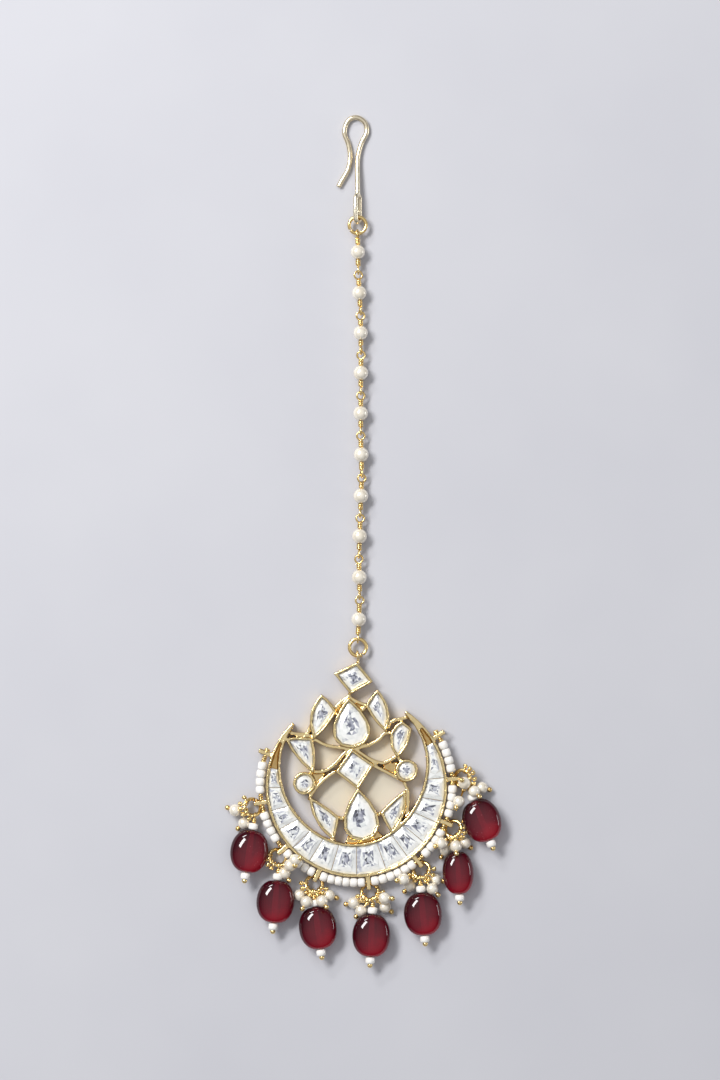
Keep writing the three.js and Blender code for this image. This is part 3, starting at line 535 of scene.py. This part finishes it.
def bowed_outline(corners, bows, margin, steps):
    places = [Vector((x, y, 0)) * RIM for x, y in corners]
    sides = []
    for i, start in enumerate(places):
        along = places[(i + 1) % len(places)] - start
        sides.append((start, along, inward(along) * (-4 * bows[i] * along.length)))
    moved = []
    for i, (start, along, sweep) in enumerate(sides):
        before = sides[i - 1]
        arriving, leaving = inward(before[1] - before[2]), inward(along + sweep)
        moved.append(start + (arriving + leaving) * (margin / (1 + arriving.dot(leaving))))
    outline = []
    for i, (start, along, sweep) in enumerate(sides):
        a, b = moved[i], moved[(i + 1) % len(moved)]
        crest = start + along * 0.5 + sweep * 0.25 + inward(along) * margin - (a + b) / 2
        outline += [a.lerp(b, k / steps) + crest * (4 * (k / steps) * (1 - k / steps)) for k in range(steps)]
    return outline


def pear_outline(tip, tail, width, margin, steps):
    tip, tail = Vector((*tip, 0)) * RIM, Vector((*tail, 0)) * RIM
    axis = (tail - tip).normalized()
    start = tip + axis * (margin * 1.5)
    length = (tail - axis * margin - start).length
    half = width * RIM / 2 - margin
    outline = []
    for k in range(steps):
        angle = 2 * math.pi * k / steps
        side = math.sin(angle) * abs(math.sin(angle / 2)) / PEAR_WIDEST
        outline.append(start + axis * (length * (1 - math.cos(angle)) / 2) - inward(axis) * (side * half))
    return outline


def round_outline(middle, margin, steps):
    middle = Vector((*middle, 0)) * RIM
    return circle(middle, ROUND_RADIUS - margin, (1, 0, 0), (0, 1, 0), steps=steps)


def horn_radius(angle):
    along = down(angle).y * HORN_RISE
    arm = math.sin(math.pi * angle / HORN_ANGLE)
    return along + math.sqrt(along**2 - HORN_RISE**2 + HORN**2) - ARM_SWELL * arm**2 - ARM_SHIFT * arm


def crescent_outline(start, end, steps, margin):
    turns = [start + (end - start) * k / steps for k in range(steps + 1)]
    outer = [down(t) * (RIM - margin) for t in turns]
    inner = [down(t) * (horn_radius(t) + margin) for t in turns]
    return outer + inner[::-1]


def setting_outlines(steps):
    """For each setting its name and a function from a margin to its outline, with about this many points."""
    made = {}
    for name, (corners, bows) in STONES.items():
        made[name] = lambda m, c=corners, b=bows: bowed_outline(c, b, m, round(steps / len(c)))
    for name, row in PEARS.items():
        made[name] = lambda m, r=row: pear_outline(*r, m, steps)
    for name, middle in ROUNDS.items():
        made[name] = lambda m, p=middle: round_outline(p, m, steps)
    return made


print("settings", sorted(setting_outlines(12)))

# %% [markdown]
# The gold of the pendant is one soldered body. The solid has its shape but crisp machine-like edges. On the
# real piece soft gold was pressed round every stone by hand, so each rim is a rounded, uneven bead. Rims are
# laid as wavering tubes on top of the walls, and a voxel remesh melts them and the solid into one skin, as
# solder does.

# %% Gold of the pendant
RIM_BEAD, RIM_SINK, RIM_STEP = 0.24, 0.12, 0.3
WAVER, RIM_UNEVEN = 0.5, 0.06
COARSE_DENT, FINE_DENT = 0.05, 0.015
VOXEL = 0.00016


def wavering(points, radius, seed, amount=0.22):
    """Radii that waver along a hand-made rim."""
    return [radius * (1 + amount * noise.noise(p * WAVER + Vector((seed, 0, 0)))) for p in points]


def closed_rim(piece, outline, seed):
    places = []
    for i, point in enumerate(outline):
        following = outline[(i + 1) % len(outline)]
        count = max(1, round((following - point).length / RIM_STEP))
        places += [point.lerp(following, k / count) for k in range(count)]
    uneven = [RIM_UNEVEN * noise.noise(p * WAVER + Vector((0, seed, 0))) for p in places]
    places = [leaned(p.x, p.y, FRAME_HEIGHT - RIM_SINK + rise) for p, rise in zip(places, uneven)]
    piece.add(*tube(places, wavering(places, RIM_BEAD, seed), 8, closed=True))


def dented(mesh):
    """Moves each point along its normal by a smooth uneven amount, and none of them under the table."""
    places, normals = np.empty(len(mesh.vertices) * 3), np.empty(len(mesh.vertices) * 3)
    mesh.vertices.foreach_get("co", places)
    mesh.vertices.foreach_get("normal", normals)
    dents = []
    for place in places.reshape(-1, 3) * 1000:
        at = Vector(place)
        dents.append((noise.noise(at * 0.8) * COARSE_DENT + noise.noise(at * 2.1) * FINE_DENT) / 1000)
    places += normals * np.repeat(dents, 3)
    places[2::3] = np.maximum(places[2::3], 0)
    mesh.vertices.foreach_set("co", places)
    mesh.update()


def pendant_gold():
    rims = Piece("pendant_gold", [SETTING_GOLD])
    for seed, (name, outline) in enumerate(sorted(setting_outlines(24).items())):
        closed_rim(rims, outline(BEZEL_WALL / 2), seed)
    closed_rim(rims, crescent_outline(-HORN_ANGLE, HORN_ANGLE, 80, BEZEL_WALL / 2), 20)
    gold = rims.done("yellow_gold", "pendant_frame")
    solid = bpy.data.objects.new("solid_copy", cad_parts["pendant_frame"].data.copy())
    bpy.context.scene.collection.objects.link(solid)
    bpy.ops.object.select_all(action="DESELECT")
    solid.select_set(True)
    gold.select_set(True)
    bpy.context.view_layer.objects.active = gold
    bpy.ops.object.join()
    gold.data.materials.clear()
    gold.data.materials.append(SETTING_GOLD.material)
    melt = gold.modifiers.new("melt", "REMESH")
    melt.mode = "VOXEL"
    melt.voxel_size = VOXEL
    melt.use_smooth_shade = True
    ease = gold.modifiers.new("ease", "SMOOTH")
    ease.factor, ease.iterations = 0.5, 2
    thin = gold.modifiers.new("thin", "DECIMATE")
    thin.ratio = 0.5
    graph = bpy.context.evaluated_depsgraph_get()
    mesh = bpy.data.meshes.new_from_object(gold.evaluated_get(graph))
    gold.modifiers.clear()
    gold.data = mesh
    dented(mesh)
    return gold


gold = pendant_gold()
print("pendant gold", len(gold.data.loop_triangles) or len(gold.data.polygons), "faces")

# %% [markdown]
# The stones are cut flat and by hand. Each gets a girdle, two tiers of facets that meet in points, two rings
# of small facets and a flat window. The number that each face carries for its sparkle is a painted reflection
# of the foil, random but seeded: nearly nothing on the girdle, a painted shadow that shows as a dark line
# inside the rim, high on the slopes, a little higher towards the lower right as painted light from the upper
# left, and mixed round the window, where the painted reflection of the foil is darkest.

# %% Cut stones
STONE_FOOT = SEAT_HEIGHT + STONE_PLAY
STONE_TOP = STONE_FOOT + STONE_HEIGHT
SLOPE, TABLE, INNER, WINDOW = 0.8, 0.54, 0.36, 0.19
SLOPE_DROP, TABLE_DROP, SLOPE_MARGIN, UNEVEN_CUT = 0.24, 0.04, 0.1, 0.12
# sparkle is a painted reflection of the foil: kept low on the girdle as a painted shadow, with painted light
# added towards the lower right
WALL_SPARKLE, FOOT_SPARKLE, WINDOW_SPARKLE, SIDE_PAINTED_LIGHT = 0.08, 0.1, (0.3, 0.5), 0.12
TIERS = [(1, 2, False, (0.5, 0.85)), (2, 3, True, (0.55, 1.0)), (3, 4, False, (0.1, 0.95)),
         (4, 5, True, (0.05, 0.8))]


def ring_at(outline, height, turn=0.0):
    """The outline as a ring, each point slid by a share of the way to the next."""
    ring = []
    for i, point in enumerate(outline):
        place = point.lerp(outline[(i + 1) % len(outline)], turn)
        ring.append(leaned(place.x, place.y, height))
    return ring


def shrunk(ring, amount, height, middle):
    return [Vector((*(middle + (p - middle) * amount).xy, height)) for p in ring]


def add_stone(piece, outline, margin, luck):
    count = len(outline(margin))
    girdle = ring_at(outline(margin), STONE_FOOT)
    middle = sum(girdle, Vector()) / count
    upper = ring_at(outline(margin), STONE_TOP - CROWN_HEIGHT)
    slope = shrunk(ring_at(outline(margin + SLOPE_MARGIN), 0, 0.5), SLOPE, STONE_TOP - SLOPE_DROP, middle)
    table = shrunk(ring_at(outline(margin), 0), TABLE, STONE_TOP - TABLE_DROP, middle)
    inner = shrunk(ring_at(outline(margin), 0, 0.5), INNER, STONE_TOP, middle)
    window = shrunk(ring_at(outline(margin), 0), WINDOW, STONE_TOP, middle)
    for ring in (inner, window):
        for point in ring:
            aside = luck.uniform(-UNEVEN_CUT, UNEVEN_CUT)
            point += Vector((aside, luck.uniform(-UNEVEN_CUT, UNEVEN_CUT), 0))
    points = girdle + upper + slope + table + inner + window
    faces, sparkle = [tuple(reversed(range(count)))], [FOOT_SPARKLE]
    for i in range(count):
        j = (i + 1) % count
        faces.append((i, j, count + j, count + i))
        sparkle.append(WALL_SPARKLE)
    for lower, higher, late, (least, most) in TIERS:
        for i in range(count):
            j = (i + 1) % count
            a, b, c, d = lower * count + i, lower * count + j, higher * count + i, higher * count + j
            pair = [(a, b, c), (b, d, c)] if not late else [(a, d, c), (a, b, d)]
            faces += pair
            # painted light: faces towards the lower right get more sparkle, as if lit from the upper left
            lit = ((points[a] + points[b]) / 2 - middle).xy.normalized().dot(down(40).xy) * SIDE_PAINTED_LIGHT
            sparkle += [luck.uniform(least, most) + lit, luck.uniform(least, most) + lit]
    faces.append(tuple(5 * count + i for i in range(count)))
    sparkle.append(luck.uniform(*WINDOW_SPARKLE))
    piece.add(points, faces, flat=True, sparkle=sparkle)


luck = random.Random(7)
lattice_stones = Piece("lattice_stones", [STONE])
for name, outline in sorted(setting_outlines(12).items()):
    add_stone(lattice_stones, outline, BEZEL_WALL + 0.08, luck)
lattice_stones.done("clear_stone", *[f"stone_{n}" for n in setting_outlines(12)])

field = Piece("crescent_field", [STONE])
for start, end in zip(DIVIDERS, DIVIDERS[1:]):
    def between_dividers(margin, start=start, end=end):
        trim = math.degrees((margin - BEZEL_WALL) / RIM)
        return crescent_outline(start + trim, end - trim, 4, margin)
    add_stone(field, between_dividers, BEZEL_WALL + 0.07, luck)
field.done("clear_stone", "crescent_stones")
print("stones", len(setting_outlines(12)), "in the lattice and", len(DIVIDERS) - 1, "in the crescent")

# %% [markdown]
# Each drop hangs on a jump ring in a lug of the rim. These rings stand at a slant: each starts low in its
# lug and rises to the height of its bead's bore. Their places are worked out the same way as in the solids,
# and the pearls and head pins start from them. A pearl lies on the table unless a ring, the seeds or the rim
# is under it.

# %% Where the drops go
DROPS = [
    {"rim": -86, "hang": -56, "seat": 16, "lean": -9, "width": 1, "pin": 1,
     "pearls": [(-80, 1.35, 0), (-28, 1.4, 0)]},
    {"rim": -55.2, "hang": -27, "seat": 4, "lean": -5, "width": 1, "pin": 1,
     "pearls": [(60, 1.1, 0), (24, 1.3, 0), (84, 1.35, 0)]},
    {"rim": -29.7, "hang": -16, "seat": -8, "lean": 7.5, "width": 1, "pin": 1,
     "pearls": [(-52, 1.4, 0), (-24, 1.45, 1.5), (26, 1.4, 1.8), (52, 1.45, 0)]},
    {"rim": 1.3, "hang": 11, "seat": 22, "lean": -2.6, "width": 1, "pin": 1,
     "pearls": [(-56, 1.5, 0), (-25, 1.6, 0), (68, 1.2, 0), (45, 1.65, 0)]},
    {"rim": 33.6, "hang": 16, "seat": -8, "lean": 4.7, "width": 1, "pin": 1,
     "pearls": [(-35, 1.5, 0), (-64, 1.5, 0), (56, 1.35, 0), (31, 1.65, 1)]},
    {"rim": 62, "hang": 45, "seat": 22, "lean": 3.4, "width": 0.82, "pin": 1,
     "pearls": [(-42, 1.4, 0), (8, 1.3, 0.8), (40, 1.4, 0), (-20, 1.75, 0)]},
    {"rim": 88.6, "hang": 92, "seat": 40, "lean": 22, "width": 1, "pin": 1.05,
     "pearls": [(20, 0.35, 0), (42, 1.3, 0.6), (64, 1.65, 0), (-10, 1.75, 0)]},
]


class Drop:
    """The places of one drop, from its lug outwards."""

    def __init__(self, row):
        self.row = row
        self.tilt = math.asin((PIN_HEIGHT - LUG_RING_HEIGHT) / (2 * RING))
        lug = CRESCENT + down(row["rim"] + math.degrees(LEAN)) * LUG_MIDDLE
        self.middle = lug + down(row["hang"]) * (RING * math.cos(self.tilt))
        self.middle.z = (PIN_HEIGHT + LUG_RING_HEIGHT) / 2
        self.seat = self.on_ring(row["seat"], RING) + down(row["lean"]) * LOOP_HOLD
        length = LOOP + PIN_WRAP + SEED_LENGTH + SEED_GAP + BEAD_LENGTH / 2
        self.length = length * row["pin"]
        dive = math.asin((PIN_HEIGHT - self.seat.z) / self.length)
        self.along = down(row["lean"]) * math.cos(dive) + UP * math.sin(dive)

    def on_ring(self, angle, radius):
        flat = down(angle) * radius
        along = flat.dot(down(self.row["hang"]))
        flat = flat + down(self.row["hang"]) * (along * (math.cos(self.tilt) - 1))
        flat.z = along * math.sin(self.tilt)
        return flat + self.middle

    def pearl(self, angle, reach, lift):
        place = down(angle) * (reach * PEARL_REACH) + self.middle
        place.z = self.pearl_height(place) + lift * SMALL_PEARL
        return place

    def pearl_height(self, place):
        def over(reach, aside):
            return math.sqrt(max((SMALL_PEARL + reach + PEARL_PLAY) ** 2 - aside**2, 0))

        radial = (place - CRESCENT).xy.length
        around = (place - self.middle).xy
        angle = math.degrees(math.atan2(around.x, -around.y))
        heights = [SMALL_PEARL + PEARL_PLAY]
        if over(RING_WIRE, around.length - RING):
            heights.append(self.on_ring(angle, RING).z + over(RING_WIRE, around.length - RING))
        if over(SEED, radial - STRING_RADIUS):
            heights.append(STRING_HEIGHT + over(SEED, radial - STRING_RADIUS))
        if radial < RIM + SMALL_PEARL:
            heights.append(FRAME_HEIGHT + SMALL_PEARL + PEARL_PLAY)
        return max(heights)


drops = [Drop(row) for row in DROPS]
for number, drop in enumerate(drops, 1):
    low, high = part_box(f"drop_ring_{number}")
    missed = ((low + high) * 500 - drop.middle).length
    print("drop", number, "misses its solid's ring by", round(missed, 3), "mm")

# %% [markdown]
# Jump rings are rounds of thick wire that were cut and bent shut, so each keeps a fine gap. A tube that stops
# six degrees short of a full round shows it, and the cuts point in many directions, as they would by chance.

# %% Jump rings
RING_SWEEP = 354


def jump_ring(name, middle, tilt=0.0, hang=0.0, cut=100.0):
    over = down(hang) * math.cos(tilt) + UP * math.sin(tilt)
    across = UP.cross(down(hang))
    piece = Piece(name, [WIRE_GOLD])
    path = circle(middle, RING, across, over, start=cut, sweep=RING_SWEEP, steps=46)
    piece.add(*tube(path, RING_WIRE, 14))
    return piece


for number, drop in enumerate(drops, 1):
    ring = jump_ring(f"drop_loop_{number}", drop.middle, drop.tilt, drop.row["hang"], 200 + 37 * number)
    ring.done("yellow_gold", f"drop_ring_{number}")
for node, cut in (("pendant_ring", 60), ("hook_ring", 150)):
    low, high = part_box(node)
    jump_ring(f"{node}_wire", (low + high) * 500, cut=cut).done("yellow_gold", node)
print("jump rings", len(drops) + 2)

# %% [markdown]
# Seed beads on a fine gold wire run round the outside of the rim, in stretches between the lugs. A seed is a
# short cut of glass tube whose edges were rounded in the fire, so no two are quite alike: each gets its own
# length, girth and a slight tilt. The seeds of a stretch touch, and where they leave room beside a lug the
# wire is wound round itself.

# %% Seed string
SEEDS_IN_STRETCH = [4, 4, 5, 6, 6, 4, 4, 4]
LONGEST_SEED, SEED_TILT, LUG_PLAY = 1.62, 0.07, 0.14
THREAD, WOUND_WIRE, WOUND_RADIUS, WOUND_PITCH, LEAST_WINDING = 0.15, 0.17, 0.36, 0.4, 1
KNOT_OUT, KNOT_RADIUS, KNOT_LENGTH, KNOT_TURNS = 1.6, 0.42, 0.9, 3.5


def string_point(angle, radius=STRING_RADIUS, height=STRING_HEIGHT):
    place = down(angle) * radius
    return leaned(place.x, place.y, height)


string = Piece("rim_seeds", [SEED_WHITE, WIRE_GOLD])
stops = [-STRING_ANGLE, *[row["rim"] for row in DROPS], STRING_ANGLE]
clear = math.degrees((LUG_LENGTH / 2 + LUG_PLAY) / STRING_RADIUS)
for count, start, end in zip(SEEDS_IN_STRETCH, stops, stops[1:]):
    room = min((end - start - 2 * clear) / count, math.degrees(LONGEST_SEED / STRING_RADIUS))
    spare = (end - start - 2 * clear - room * count) / 2
    for turn in (start + clear, end - clear - spare):
        if spare > LEAST_WINDING:
            tangent = (string_point(turn + spare) - string_point(turn)).normalized()
            length = math.radians(spare) * STRING_RADIUS
            turns = round(length / WOUND_PITCH)
            wound = coil(string_point(turn), tangent, WOUND_RADIUS, length, turns)
            string.add(*tube(wound, WOUND_WIRE, 8), look=1)
    for k in range(count):
        angle = start + clear + spare + room * (k + 0.5)
        along = (string_point(angle + 1) - string_point(angle - 1)).normalized()
        along = (along + Vector([luck.uniform(-SEED_TILT, SEED_TILT) for _ in range(3)])).normalized()
        length = math.radians(room) * STRING_RADIUS * luck.uniform(0.92, 0.99)
        girth = SEED * luck.uniform(0.94, 1.0)
        rows = barrel_rows(-length / 2, length, girth)
        string.add(*turned(rows, string_point(angle), along, 18))
thread = [string_point(-STRING_ANGLE + 2 * STRING_ANGLE * k / 120) for k in range(121)]
string.add(*tube(thread, THREAD, 6), look=1)
for end in (-STRING_ANGLE, STRING_ANGLE):
    turn = math.copysign(1, end)
    knot = string_point(end + turn * KNOT_OUT)
    tangent = (string_point(end + 1) - string_point(end - 1)).normalized()
    wound = coil(knot - tangent * 0.35, tangent, KNOT_RADIUS, KNOT_LENGTH, KNOT_TURNS)
    string.add(*tube(wound, WOUND_WIRE, 8), look=1)
string.done("white_seed", "seed_string")
print("seeds on the string", sum(SEEDS_IN_STRETCH))

# %% [markdown]
# A red drop is a flattened oval of glass, drilled along its length. It is turned about its bore and squeezed
# to its thickness. Two numbers go with its faces: how much painted light gathers there, with painted shade
# towards the edges, and where the bore shows through.

# %% Red beads
FULLNESS, MOUTH_DEPTH, MOUTH_SHARE = 0.8, 0.35, 0.6
FAR_SIDE, GLOW_MIDDLE, GLOW_RISE, EDGE_PAINTED_SHADE = Vector((0.6, -0.8, 0)), 0.42, 0.75, 0.35
BORE_SEEN, BUBBLY_BEADS, FEW_BUBBLES = 0.55, (1, 7), 0.12


def red_bead(number, drop):
    piece = Piece(f"red_drop_{number}", [RUBY])
    rows, end = 30, math.asin(2 * BEAD_BORE / BEAD_WIDTH)
    profile = []
    for k in range(rows + 1):
        angle = end + (math.pi - 2 * end) * k / rows
        full = math.sin(angle) ** FULLNESS
        profile.append((-BEAD_LENGTH / 2 * math.cos(angle) / math.cos(end), BEAD_WIDTH / 2 * full))
    profile[0] = (profile[0][0], BEAD_BORE)
    profile[-1] = (profile[-1][0], BEAD_BORE)
    inside = BEAD_BORE * MOUTH_SHARE
    profile += [(profile[-1][0] - MOUTH_DEPTH, inside), (profile[0][0] + MOUTH_DEPTH, inside), profile[0]]
    middle = drop.seat + drop.along * drop.length
    sides, flat = 40, BEAD_THICKNESS / BEAD_WIDTH
    points, faces = turned(profile[:-1], middle, drop.along, sides, UP, flat, drop.row["width"])
    faces = faces[:-2]
    last = (len(profile) - 2) * sides
    faces += [(last + i, last + (i + 1) % sides, (i + 1) % sides, i) for i in range(sides)]
    across = drop.along.cross(UP)
    glow, bore = [], []
    for face in faces:
        place = sum((points[i] for i in face), Vector()) / len(face) - middle
        # painted light rises towards the lower right, and painted shade darkens the edges
        gathered = GLOW_MIDDLE + place.dot(FAR_SIDE) / BEAD_WIDTH * GLOW_RISE
        edge = (abs(place.dot(across)) / (BEAD_WIDTH / 2)) ** 4
        glow.append(min(max(gathered - EDGE_PAINTED_SHADE * edge, 0), 1))
        bore.append(1.0 if abs(place.dot(across)) < BORE_SEEN and place.z > 0 else 0.0)
    bubbly = [1.0 if number in BUBBLY_BEADS else FEW_BUBBLES] * len(faces)
    piece.add(points, faces, glow=glow, bore=bore, bubbly=bubbly)
    return piece


for number, drop in enumerate(drops, 1):
    red_bead(number, drop).done("red_glass", f"drop_bead_{number}")
print("red beads", len(drops))

# %% [markdown]
# Each bead hangs on a head pin: a wire with a ball at its foot, a seed bead at either end of the red bead,
# and a loop on the jump ring whose tail is wound round its own neck. Round it, small pearls sit on pins of
# the same kind, all bunched on the same ring, and loops of wire without a pearl fill the gaps between them.
# One piece holds all the wire, seeds and pearls of a drop.

# %% Head pins and pearl clusters
PIN, HEAD_PIN, PIN_LOOP, TAIL_RADIUS, HIGHEST = 0.19, 0.2, 0.56, 0.3, 5.5
GRIP_OUT, GRIP_SHARE, PIN_SEED = 0.1, 0.45, 1.03 * SEED
SPARE_REACH, SPARE_STEP, SPARE_CLEAR = 78, 26, 15


def wound_pin(piece, start, along, turns, neck):
    """A loop that holds the ring, with its tail wound round the neck of the wire."""
    over = along.normalized()
    across = UP if abs(over.dot(UP)) < 0.8 else down(0)
    across = (across - over * across.dot(over)).normalized()
    piece.add(*tube(circle(start, PIN_LOOP, over, across, steps=20), PIN, 8, closed=True), look=0)
    wound = coil(start + over * (PIN_LOOP + 0.02), over, TAIL_RADIUS, neck, turns, 10)
    piece.add(*tube(wound, PIN, 7), look=0)


def pearl_pin(piece, start, pearl, luck):
    along = (pearl - start).normalized()
    wound_pin(piece, start, along, 2, 0.5)
    tail = pearl + along * (SMALL_PEARL + 0.12)
    tail.z = max(tail.z, BALL)
    piece.add(*tube([start + along * PIN_LOOP, pearl, tail], PIN, 8), look=0)
    girth = SMALL_PEARL * luck.uniform(0.93, 1.0)
    piece.add(*turned(ball_rows(girth, 12), pearl, along, 22), look=2)
    head = tail + along * (BALL * 0.55)
    head.z = min(max(head.z, BALL), HIGHEST - BALL)
    piece.add(*turned(ball_rows(BALL * 0.95, 8), head, along, 14), look=0)


def spare_loops(piece, drop, grips, luck):
    """Loops of wire that fill the lower half of the ring between those that hold something."""
    for turn in range(-SPARE_REACH, SPARE_REACH + 1, SPARE_STEP):
        angle = drop.row["hang"] + turn + luck.uniform(-4, 4)
        if min(abs(angle - grip) for grip in grips) < SPARE_CLEAR:
            continue
        start = drop.on_ring(angle, RING + GRIP_OUT)
        along = (down(angle + luck.uniform(-12, 12)) + UP * luck.uniform(0.1, 0.5)).normalized()
        wound_pin(piece, start, along, 2, 0.55)


def cluster(number, drop, luck):
    piece = Piece(f"head_pins_{number}", [WIRE_GOLD, SEED_WHITE, PEARL])
    reach = BEAD_LENGTH / 2 + SEED_GAP
    foot = drop.length + reach + SEED_LENGTH + BALL / 2
    piece.add(*tube([drop.seat + drop.along * 0.5, drop.seat + drop.along * foot], HEAD_PIN, 10), look=0)
    wound_pin(piece, drop.seat, drop.along, 2.5, drop.length - reach - SEED_LENGTH - 0.62)
    for start in (drop.length - reach - SEED_LENGTH, drop.length + reach):
        rows = barrel_rows(start, SEED_LENGTH, PIN_SEED)
        piece.add(*turned(rows, drop.seat, drop.along, 20), look=1)
    piece.add(*turned(ball_rows(BALL, 10), drop.seat + drop.along * foot, drop.along, 16), look=0)
    grips = [drop.row["seat"]]
    for angle, reach, lift in drop.row["pearls"]:
        pearl = drop.pearl(angle, reach, lift)
        grips.append(drop.row["seat"] + (angle - drop.row["seat"]) * GRIP_SHARE)
        pearl_pin(piece, drop.on_ring(grips[-1], RING + GRIP_OUT), pearl, luck)
    spare_loops(piece, drop, grips, luck)
    return piece


for number, drop in enumerate(drops, 1):
    cluster(number, drop, luck).done("yellow_gold", f"drop_wirework_{number}")
print("pearls in the clusters", sum(len(row["pearls"]) for row in DROPS))

# %% [markdown]
# Each link of the chain is one wire through a pearl. At both ends it turns into a loop and is wound back
# round its own neck. The loops of neighbours pass through each other, one nearly flat and one nearly on
# edge. The wire ends stick out a little where the maker cut them.

# %% Chain
CHAIN = [
    (2.5, 1.2, 90, 8), (-1, 1.05, 82, -12), (2, 1, 97, 6), (2.5, 0.95, 84, 14), (-1.5, 1.15, 100, -8),
    (0, 0.95, 86, 10), (0.5, 1, 94, -14), (-1, 0.9, 80, 4), (-3.5, 1, 98, 12), (-1, 1.05, 88, 78),
]
LOOP_PITCH = 2 * (LOOP - LINK_WIRE) - LOOP_PLAY
NECK_WIRE, WRAP_WIRE, WRAP_RADIUS, WRAP_TURNS, CUT_END, CUT_TIP = 0.2, 0.19, 0.36, 3.5, 0.25, 0.1


def chain_link(number, middle, heading, row, luck):
    _, wrap, lower, upper = row
    piece = Piece(f"pearl_link_{number:02d}", [WIRE_GOLD, PEARL])
    right = heading.cross(UP)
    reach = CHAIN_PEARL + WRAP_LENGTH * wrap + LOOP
    girth = CHAIN_PEARL * luck.uniform(0.96, 1.0)
    piece.add(*turned(ball_rows(girth, 16), middle, heading, 30), look=1)
    neck = reach - LOOP
    piece.add(*tube([middle - heading * neck, middle + heading * neck], NECK_WIRE, 8))
    for side, roll in ((-1, lower), (1, upper)):
        out = heading * side
        across = right * math.cos(math.radians(roll)) - UP * math.sin(math.radians(roll))
        place = middle + out * reach
        piece.add(*tube(circle(place, LOOP, out, across, steps=28), LINK_WIRE * 0.95, 10, closed=True))
        length = WRAP_LENGTH * wrap - 0.1
        wound = coil(middle + out * (CHAIN_PEARL + 0.02), out, WRAP_RADIUS, length, WRAP_TURNS * wrap)
        tail = wound[0] + (wound[0] - middle).cross(heading).normalized() * CUT_END
        piece.add(*tube([tail, *wound], [CUT_TIP, *[WRAP_WIRE] * len(wound)], 8))
    return piece


climb = leaned(*EYELET_MIDDLE) + Vector((0, 2 * RING + LOOP_HOLD, CHAIN_PEARL))
for k, row in enumerate(CHAIN):
    heading = down(180 - row[0])
    reach = CHAIN_PEARL + WRAP_LENGTH * row[1] + LOOP
    number = len(CHAIN) - k
    chain_link(number, climb + heading * reach, heading, row, luck).done("pearl", f"chain_link_{number:02d}")
    climb = climb + heading * (2 * reach)
    if number > 1:
        climb.y += LOOP_PITCH
print("chain of", len(CHAIN), "links reaches y", round(climb.y, 2))

# %% [markdown]
# The hair hook is one bent wire. Its free end is opened out a little so that it slides into the hair, it
# rises over a crook, and it ends in a long closed eye that is turned almost on edge. The line of the wire
# goes smoothly through the same points as its solid.

# %% Hair hook
HOOK_LENGTH, HOOK_WIRE, EYE_HALF_WIDTH, EYE_STRAIGHT, EYE_TURN = 18.3, 0.5, 1.0, 1.75, 66
HOOK_LINE = [
    (-0.212, 0.24, 0), (-0.16, 0.33, 0), (-0.105, 0.43, 0), (-0.081, 0.56, 0), (-0.1, 0.702, 0),
    (-0.144, 0.835, 0), (-0.105, 0.96, 0), (-0.012, 1, 0), (0.078, 0.945, 0), (0.099, 0.84, 0),
    (0.041, 0.712, 0.05), (0.002, 0.56, 0.2), (-0.003, 0.37, 0.6), (0, 0.145, 1),
]
past_ring = EYE_STRAIGHT + EYE_HALF_WIDTH - HOOK_WIRE - RING_WIRE - 2 * LOOP_PLAY
eye = climb + Vector((0, LOOP_HOLD + 2 * RING + past_ring, 0))
eye.z = CHAIN_PEARL
hook = Piece("hook_wire", [HOOK_GOLD])
line = []
for x, y, rise in HOOK_LINE:
    height = HOOK_WIRE + (CHAIN_PEARL - HOOK_WIRE) * rise
    line.append(Vector((eye.x + x * HOOK_LENGTH, eye.y + y * HOOK_LENGTH, height)))
line = smooth_line(line, 8)
radii = [HOOK_WIRE] * len(line)
radii[0] = HOOK_WIRE * 0.8
hook.add(*tube(line, radii, 16))
across = Vector((math.cos(math.radians(EYE_TURN)), 0, -math.sin(math.radians(EYE_TURN))))
round_eye = circle(eye, EYE_HALF_WIDTH, across, (0, 1, 0), steps=40)
for point in round_eye:
    rise = point.y - eye.y
    point.y += math.copysign(EYE_STRAIGHT, rise) if abs(rise) > 1e-6 else 0
hook.add(*tube(round_eye, HOOK_WIRE * 0.97, 16, closed=True))
hook.done("pale_gold", "hair_hook")
solid_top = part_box("hair_hook")[1].y * 1000
print("hook's top wire at y", round(eye.y + HOOK_LENGTH, 2), "solid's top at", round(solid_top, 2))
